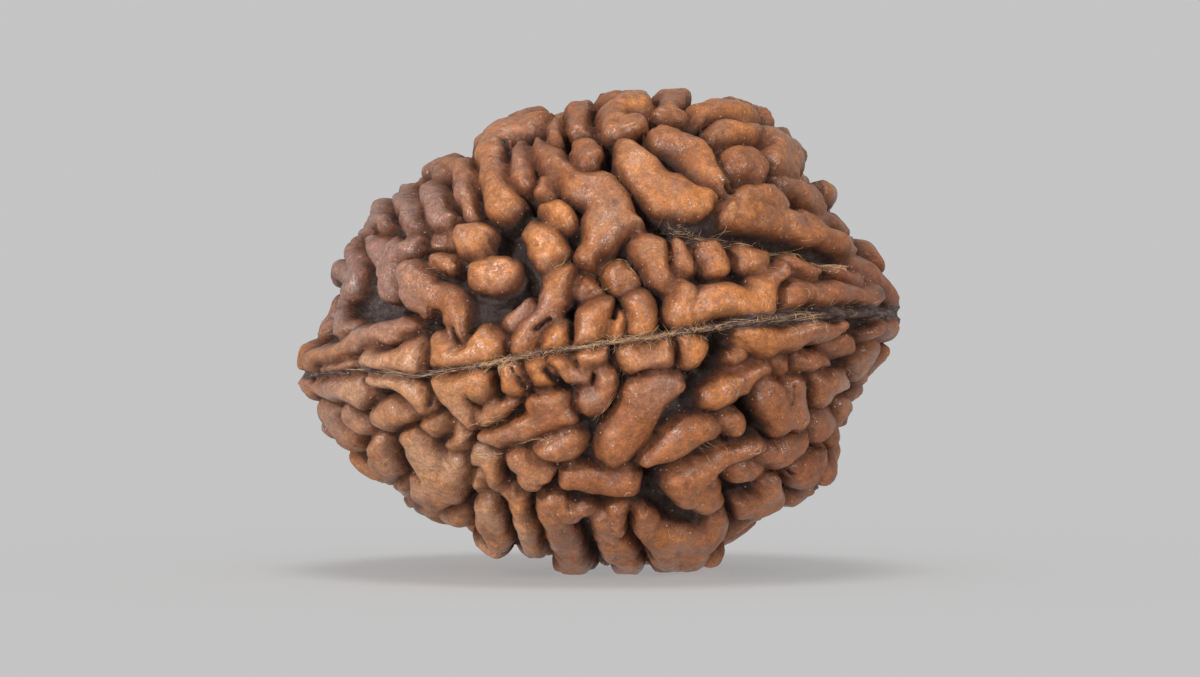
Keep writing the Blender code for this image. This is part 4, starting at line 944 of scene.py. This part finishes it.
def thinned(mesh, triangles):
    """The mesh with this many faces, most of them left where it bends most."""
    draft = placed("draft", mesh)
    split = draft.modifiers.new("split", "TRIANGULATE")
    split.quad_method = "SHORTEST_DIAGONAL"
    fewer = draft.modifiers.new("fewer", "DECIMATE")
    fewer.ratio = triangles / (2 * len(mesh.polygons))
    return evaluated(draft)


def wrinkles(drawn):
    """How much a wrinkle there is at each drawn point, from 0 to 1."""
    lines = np.exp(-((lattice_noise(drawn, WRINKLE_WAVE, WRINKLE_SEED) / WRINKLE_WIDTH) ** 2))
    return lines * smoothstep(*WRINKLED_FROM, lattice_noise(drawn, WRINKLED_WAVE, WRINKLED_SEED))


def store_looks(mesh, drawn, shaped, wrinkled, tones):
    """Keeps in the mesh what its material's colours and gloss go by."""
    x, y, _ = drawn.T
    front = y < 0
    to_seam = shaped["to_seam"]
    line = SEAM_LINE + (WIDE_SEAM_LINE - SEAM_LINE) * smoothstep(WIDE_SEAM_FROM, WIDE_SEAM_TO, x)
    # Painted light on the folds beside the seam
    seam_painted_light = SEAM_PAINTED_LIGHT * np.exp(-((to_seam / SEAM_PAINTED_LIGHT_REACH) ** 2)) * smoothstep(*SEAM_PAINTED_LIGHT_ENDS, x)
    # Painted shade in the creases between the folds, in the wrinkles and in the cracks
    painted_crease_shade = np.maximum(np.exp(-np.maximum(shaped["edge"], 0) / CREASE_SHADE_WIDTH), WRINKLE_SHADE * wrinkled)
    store(mesh, "groove", np.clip(shaped["depth"] / FLOOR_DEPTH, 0, 1))
    store(mesh, "painted_crease_shade", np.maximum(painted_crease_shade, CRACK_SHADE * shaped["crack"]))
    # Painted shade over each fold's flank, darker towards its edge
    store(mesh, "painted_flank_shade", smoothstep(FLANK_SHADE_WIDTH, 0, shaped["edge"]))
    store(mesh, "seam", to_seam / line)
    store(mesh, "tone", tones[shaped["owner"]])
    store(mesh, "dusty", patches(drawn, DUSTY_PATCHES))
    # Painted light: the lit patches on the front and the band beside the seam
    store(mesh, "painted_light", np.maximum(patches(drawn, PAINTED_LIGHT_PATCHES) * front, seam_painted_light))
    store(mesh, "pale", patches(drawn, PALE_AND_PAINTED_LIGHT_PATCHES))
    store(mesh, "ruddy", patches(drawn, RUDDY_PATCHES))
    store(mesh, "stain", patches(drawn, STAINS) * front)
    store_place(mesh, drawn)


def make_seed(form, material):
    mesh = even_mesh(form)
    drawn = form.drawn(mesh_points(mesh))
    exact, _ = form.surface(drawn)
    set_points(mesh, form.laid(drawn + CRISPNESS * (exact - drawn)))
    mesh = thinned(mesh, SEED_TRIANGLES)
    mesh.name = "seed"
    drawn = form.drawn(mesh_points(mesh))
    _, shaped = form.surface(drawn)
    wrinkled = wrinkles(drawn)
    rough = sum(size * lattice_noise(drawn, wave, seed) for size, wave, seed in ROUGHNESS_WAVES)
    rough -= WRINKLE_DEPTH * wrinkled
    rough *= smoothstep(*SEAM_SMOOTH, shaped["to_seam"])
    points = mesh_points(mesh) + mesh_normals(mesh) * rough[:, None] * MM
    points[:, 2] = np.maximum(points[:, 2], 0)
    set_points(mesh, points)
    tones = np.random.default_rng(TONE_SEED).uniform(0, 1, len(form.folds) + 1)
    store_looks(mesh, drawn, shaped, wrinkled, tones)
    mesh.shade_smooth()
    mesh.materials.append(material)
    return placed("seed", mesh)


def along(path, steps):
    """Points spread evenly on a drawn path, the way it runs at each, and its length."""
    path = np.array(path, float)
    sides = np.linalg.norm(np.diff(path, axis=0), axis=1)
    total = np.concatenate([[0], np.cumsum(sides)])
    at = np.linspace(0, total[-1], steps)
    points = np.column_stack([np.interp(at, total, path[:, i]) for i in (0, 1)])
    ways = np.gradient(points, axis=0)
    return points, unit(ways), total[-1]


def laid_strands(rng, path, count, length, spread, lift, turn):
    """Strands that lie along a drawn path, as rows of (x, z, height above the seed)."""
    points, ways, total = along(path, PATH_STEPS)
    tufts = rng.uniform(0, total, max(2, round(total / TUFT_SPACING)))
    strands = []
    for _ in range(count):
        long = rng.uniform(*length)
        start = rng.choice(tufts) + rng.normal(0, TUFT_LENGTH) - long / 2
        side = rng.normal(0, spread)
        angle = rng.normal(0, turn)
        bend = rng.normal(0, 2 * turn)
        strand = []
        height = abs(rng.normal(0, lift))
        for t in np.linspace(0, 1, STRAND_POINTS):
            here = np.clip((start + t * long) / total, 0, 1) * (PATH_STEPS - 1)
            place = points[int(here)]
            way = ways[int(here)]
            across = np.array([-way[1], way[0]])
            off = side + math.sin(angle) * (t - 0.5) * long + bend * (t - 0.5) ** 2 * long
            bow = STRAND_BOW * lift * math.sin(math.pi * t)
            raised = height + bow + rng.normal(0, STRAND_UNEVENNESS)
            strand.append((*(place + off * across), raised))
        strands.append(strand)
    return strands


def loose_strands(rng, path, count, length, spread, lift):
    """Short frayed ends that point any way from near a drawn path."""
    points, _, _ = along(path, PATH_STEPS)
    strands = []
    for _ in range(count):
        place = points[rng.integers(PATH_STEPS)] + rng.normal(0, spread, 2)
        long = rng.uniform(*length)
        angle = rng.uniform(0, math.tau)
        curl = rng.normal(0, FRAYED_CURL)
        rising = rng.uniform(0, lift)
        strand = []
        for t in np.linspace(0, 1, STRAND_POINTS):
            turned = angle + curl * t
            step = long * t * np.array([math.cos(turned), math.sin(turned)])
            strand.append((*(place + step), FRAYED_FOOT + rising * t**1.5))
        strands.append(strand)
    return strands


def front_strands():
    rng = np.random.default_rng(FRONT_STRANDS_SEED)
    strands = []
    for path, count, length, spread, lift, turn in LAID_STRANDS:
        strands += laid_strands(rng, path, count, length, spread, lift, turn)
    for path, count, length, spread, lift in LOOSE_STRANDS:
        strands += loose_strands(rng, path, count, length, spread, lift)
    return np.array(strands)


def tube_faces(count):
    """The faces of this many three-sided tubes, each with its rings one after another."""
    faces = []
    for strand in range(count):
        first = strand * STRAND_POINTS * 3
        for link in range(STRAND_POINTS - 1):
            for side in range(3):
                a = first + link * 3 + side
                b = first + link * 3 + (side + 1) % 3
                faces.append((a, b, b + 3, a + 3))
        last = first + (STRAND_POINTS - 1) * 3
        faces.append((first, first + 2, first + 1))
        faces.append((last, last + 1, last + 2))
    return faces


def make_fibres(form, material):
    """Straw-coloured strands along the seams and in some creases, as thin three-sided tubes."""
    front = front_strands()
    rng = np.random.default_rng(BACK_STRANDS_SEED)
    strands = np.concatenate([front, laid_strands(rng, *BACK_STRANDS)])
    count = len(strands)
    flat = np.array([drawn_on_skin(x, z) for x, z in strands[:, :, :2].reshape(-1, 2)])
    flat[len(front) * STRAND_POINTS :, 1] *= -1
    surface, _ = form.surface(flat)
    outward = unit(surface).reshape(count, STRAND_POINTS, 3)
    surface = surface.reshape(count, STRAND_POINTS, 3)
    surface[:, 1:-1] = 0.5 * surface[:, 1:-1] + 0.25 * (surface[:, :-2] + surface[:, 2:])
    centres = surface + outward * (strands[:, :, 2:] + FIBRE_CLEARANCE)
    ways = np.gradient(centres, axis=1)
    ways /= np.linalg.norm(ways, axis=2, keepdims=True) + 1e-9
    across = np.cross(ways, outward)
    across /= np.linalg.norm(across, axis=2, keepdims=True) + 1e-9
    up = np.cross(across, ways)
    radii = rng.uniform(*FIBRE_RADII, count)[:, None, None] * np.array(STRAND_TAPER)[None, :, None]
    rings = []
    for corner in (0, 1, -1):
        turn = math.pi / 2 + corner * math.tau / 3
        rings.append(centres + (across * math.cos(turn) + up * math.sin(turn)) * radii)
    points = np.stack(rings, axis=2).reshape(-1, 3)
    mesh = bpy.data.meshes.new("fibres")
    mesh.from_pydata(form.laid(points), [], tube_faces(count))
    store(mesh, "tone", np.repeat(rng.uniform(0, 1, count), STRAND_POINTS * 3))
    store_place(mesh, points)
    mesh.shade_smooth()
    mesh.materials.append(material)
    return placed("fibres", mesh)


class Nodes:
    """A material's node tree, with short ways to add its nodes."""

    def __init__(self, name):
        self.material = bpy.data.materials.new(name)
        self.material.use_nodes = True
        self.tree = self.material.node_tree
        self.shader = self.tree.nodes["Principled BSDF"]

    def look(self, name, value):
        """Sets one of the shader's inputs."""
        self.put(self.shader.inputs[name], value)

    def put(self, socket, value):
        """Links a value to an input, or sets the input to it where it is a plain one."""
        if isinstance(value, bpy.types.NodeSocket):
            self.tree.links.new(value, socket)
        else:
            socket.default_value = value

    def add(self, kind, inputs, **settings):
        """A new node with these inputs and settings."""
        made = self.tree.nodes.new("ShaderNode" + kind)
        for name, value in settings.items():
            setattr(made, name, value)
        for key, value in inputs.items():
            self.put(made.inputs[key], value)
        return made

    def value(self, name):
        return self.add("Attribute", {}, attribute_name=name).outputs["Fac"]

    def vector(self, name):
        return self.add("Attribute", {}, attribute_name=name).outputs["Vector"]

    def math(self, operation, a, b, clamp=False):
        return self.add("Math", {0: a, 1: b}, operation=operation, use_clamp=clamp).outputs[0]

    def times(self, a, b, clamp=False):
        return self.math("MULTIPLY", a, b, clamp)

    def plus(self, a, b, clamp=False):
        return self.math("ADD", a, b, clamp)

    def noise(self, place, scale, detail, roughness, distortion=0.0):
        inputs = {"Vector": place, "Scale": scale, "Detail": detail, "Roughness": roughness,
                  "Distortion": distortion}
        return self.add("TexNoise", inputs).outputs["Fac"]

    def ramp(self, value, low, high, start=0.0, end=1.0):
        """A value from start to end as the given one goes from low to high."""
        inputs = {"Value": value, "From Min": low, "From Max": high, "To Min": start, "To Max": end}
        return self.add("MapRange", inputs, interpolation_type="SMOOTHSTEP").outputs[0]

    def mix(self, factor, a, b, blend="MIX"):
        made = self.tree.nodes.new("ShaderNodeMix")
        made.data_type = "RGBA"
        made.blend_type = blend
        self.put(made.inputs[0], factor)
        self.put(made.inputs[6], a)
        self.put(made.inputs[7], b)
        return made.outputs[2]


def crest_colour(nodes, place, noises):
    """The colour of the folds' tops, made brighter and more orange where light is painted on them."""
    mixed = nodes.plus(nodes.times(nodes.value("tone"), 0.15), nodes.times(noises["medium"], 0.7))
    # Painted light pushes the colour towards orange
    mixed = nodes.plus(mixed, nodes.times(nodes.value("painted_light"), 0.3))
    colour = nodes.mix(nodes.ramp(mixed, 0.3, 0.75), BROWN, ORANGE)
    film = nodes.ramp(nodes.noise(place, 1.1, 4, 0.65, 0.6), 0.5, 0.68, 0, 0.5)
    colour = nodes.mix(film, colour, FILM)
    for patch, noise, span, shares, tint in COLOUR_LAYERS:
        share = nodes.times(nodes.value(patch), nodes.ramp(noises[noise], *span, *shares))
        colour = nodes.mix(share, colour, tint)
    return colour


def shade_and_dust_in_grooves(nodes, colour, noises):
    """A colour with painted shade on the folds' flanks and down the grooves, the grooves' floors in painted
    shade or dust, and painted shade in the creases.
    """
    painted_flank_shade = nodes.times(nodes.value("painted_flank_shade"), nodes.ramp(noises["medium"], 0.3, 0.7, 0.55, 1.1))
    # Painted shade: each fold's flank darkens towards its edge
    colour = nodes.mix(nodes.times(painted_flank_shade, 0.8, clamp=True), colour, PAINTED_SHADE_BROWN)
    uneven = nodes.times(nodes.math("SUBTRACT", noises["medium"], 0.5), 0.25)
    groove = nodes.plus(nodes.value("groove"), uneven)
    # Painted shade: darker brown deeper down the grooves
    colour = nodes.mix(nodes.ramp(groove, 0.03, 0.4, 0, 0.9), colour, PAINTED_SHADE_BROWN)
    dust = nodes.ramp(noises["broad"], 0.4, 0.7, 0.05, 0.5)
    dust = nodes.plus(nodes.times(nodes.value("dusty"), 0.7), dust)
    dust = nodes.times(dust, nodes.ramp(noises["fine"], 0.3, 0.65, 0.6, 1.2), clamp=True)
    # The grooves' floors: near-black painted shade, or dust where the grooves are dusty
    colour = nodes.mix(nodes.ramp(groove, 0.4, 0.72), colour, nodes.mix(dust, PAINTED_SHADE_DARK, GROOVE_DUST))
    # Painted shade in the creases, the wrinkles and the cracks
    return nodes.mix(nodes.ramp(nodes.value("painted_crease_shade"), 0.15, 0.9, 0, 0.85), colour, PAINTED_SHADE_DARK)


def seamed(nodes, place, colour, noises):
    """A colour with the seam's dark and streaked line."""
    stretched = nodes.add("Mapping", {"Vector": place, "Scale": (0.7, 2, 6)}).outputs[0]
    streak = nodes.ramp(nodes.noise(stretched, 1.6, 3, 0.6), 0.45, 0.62)
    band = nodes.ramp(nodes.value("seam"), 1.15, 0.6)
    band = nodes.times(band, nodes.ramp(noises["fine"], 0.3, 0.6, 0.7, 1))
    return nodes.mix(band, colour, nodes.mix(streak, SEAM_DARK, SEAM_STREAK))


def mottled(nodes, place, colour, noises):
    """A colour with lighter and darker spots, and with light-coloured specks that are partly dust and partly
    painted glints.
    """
    shade = 1.0
    for noise, dark, light in MOTTLE:
        shade = nodes.times(shade, nodes.ramp(noises[noise], 0.3, 0.7, dark, light))
    grey = nodes.add("CombineColor", {0: shade, 1: shade, 2: shade}).outputs[0]
    colour = nodes.mix(1.0, colour, grey, "MULTIPLY")
    # Specks that are partly dust, partly painted glints
    speck = nodes.add("TexVoronoi", {"Vector": place, "Scale": SPECK_SCALE}, feature="F1")
    chance = nodes.add("SeparateColor", {0: speck.outputs["Color"]}).outputs[0]
    dot = nodes.ramp(speck.outputs["Distance"], 0.19, 0.08)
    dot = nodes.times(dot, nodes.math("GREATER_THAN", chance, SPECKLESS))
    return nodes.mix(nodes.times(dot, SPECK_STRENGTH), colour, DUST_AND_GLINT_SPECK)


def polish(nodes, place, noises):
    """The stone's gloss and small bumps, with a thin coat of wax over the folds' tops."""
    groove = nodes.value("groove")
    rough = nodes.plus(nodes.ramp(groove, 0.05, 0.5, 0.42, 0.85), nodes.times(nodes.value("dusty"), 0.16))
    rough = nodes.plus(rough, nodes.ramp(noises["fine"], 0.3, 0.7, -0.06, 0.12), clamp=True)
    waxy = nodes.ramp(noises["broad"], 0.35, 0.65, 0.25, 1)
    waxy = nodes.times(nodes.ramp(groove, 0.05, 0.35, 1, 0), waxy)
    nodes.look("Roughness", rough)
    nodes.look("Specular IOR Level", 0.25)
    nodes.look("Coat Weight", waxy)
    nodes.look("Coat Roughness", WAX_ROUGHNESS)
    nodes.look("Coat IOR", WAX_GLOSS)
    pores = nodes.times(nodes.noise(place, 4.5, 3, 0.6), 0.65)
    pores = nodes.plus(pores, nodes.times(noises["grain"], 0.35))
    beads = nodes.noise(place, 6.5, 3, 0.6)
    for name, height, size in (("Normal", pores, STONE_BUMP), ("Coat Normal", beads, WAX_BUMP)):
        inputs = {"Height": height, "Distance": size * MM, "Strength": BUMP_STRENGTH}
        nodes.look(name, nodes.add("Bump", inputs).outputs[0])


def stone_material():
    nodes = Nodes("seed_stone_look")
    place = nodes.vector("place")
    noises = {name: nodes.noise(place, *kind) for name, kind in NOISES.items()}
    colour = shade_and_dust_in_grooves(nodes, crest_colour(nodes, place, noises), noises)
    colour = mottled(nodes, place, seamed(nodes, place, colour, noises), noises)
    nodes.look("Base Color", colour)
    polish(nodes, place, noises)
    return nodes.material


def fibre_material():
    nodes = Nodes("fibre_look")
    straw = nodes.mix(nodes.ramp(nodes.value("tone"), 0.1, 0.6), FIBRE_BROWN, FIBRE_STRAW)
    dirty = nodes.ramp(nodes.noise(nodes.vector("place"), 2.2, 3, 0.6), 0.5, 0.72, 0, 0.75)
    nodes.look("Base Color", nodes.mix(dirty, straw, FIBRE_BROWN))
    nodes.look("Roughness", 0.55)
    return nodes.material


def make_floor():
    mesh = bpy.data.meshes.new("floor")
    shape = bmesh.new()
    bmesh.ops.create_grid(shape, x_segments=1, y_segments=1, size=FLOOR_HALF_SIDE)
    shape.to_mesh(mesh)
    shape.free()
    nodes = Nodes("floor_grey")
    nodes.look("Base Color", (FLOOR_GREY, FLOOR_GREY, FLOOR_GREY, 1))
    nodes.look("Roughness", 1.0)
    nodes.look("Specular IOR Level", 0.0)
    nodes.look("Emission Color", (1, 1, 1, 1))
    nodes.look("Emission Strength", FLOOR_GLOW)
    mesh.materials.append(nodes.material)
    floor = placed("floor", mesh)
    floor.visible_glossy = False


def make_sun(name, azimuth, elevation, size, strength, lit):
    """A soft light that lights the objects of this collection only, or all of them without one."""
    light = bpy.data.lights.new(name, "SUN")
    light.energy = strength
    light.angle = math.radians(size)
    sun = placed(name, light)
    around = math.radians(azimuth)
    up = math.radians(elevation)
    towards = Vector((math.sin(around) * math.cos(up), -math.cos(around) * math.cos(up), math.sin(up)))
    sun.rotation_euler = towards.to_track_quat("Z", "Y").to_euler()
    sun.light_linking.receiver_collection = lit
    sun.light_linking.blocker_collection = lit


def make_world():
    world = bpy.data.worlds.new("studio")
    world.use_nodes = True
    background = world.node_tree.nodes["Background"]
    background.inputs["Color"].default_value = (1, 1, 1, 1)
    background.inputs["Strength"].default_value = WORLD_STRENGTH
    bpy.context.scene.world = world


def make_camera(form):
    camera = bpy.data.cameras.new("camera")
    camera.sensor_width = SENSOR_WIDTH
    camera.lens = FOCAL_LENGTH
    camera.clip_start = 0.01
    camera.clip_end = 20
    seen = placed("camera", camera)
    target = Vector(form.laid(np.array([(PICTURE_MIDDLE[0], 0, PICTURE_MIDDLE[1])]))[0])
    distance = PICTURE_WIDTH * MM * FOCAL_LENGTH / SENSOR_WIDTH
    lean = math.radians(LEAN)
    seen.location = target + distance * Vector((0, -math.cos(lean), math.sin(lean)))
    seen.rotation_euler = (seen.location - target).to_track_quat("Z", "Y").to_euler()
    bpy.context.scene.camera = seen


form = Form()
seed = make_seed(form, stone_material())
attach(seed, "root")
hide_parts("rudraksha_stone")
fibres = make_fibres(form, fibre_material())
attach(fibres, "root")
make_floor()
make_world()
lit = bpy.data.collections.new("lit_from_the_front")
lit.objects.link(seed)
lit.objects.link(fibres)
for name, azimuth, elevation, size, strength, for_seed_only in LIGHTS:
    make_sun(name, azimuth, elevation, size, strength, lit if for_seed_only else None)
make_camera(form)
bpy.context.scene.view_settings.view_transform = "Standard"
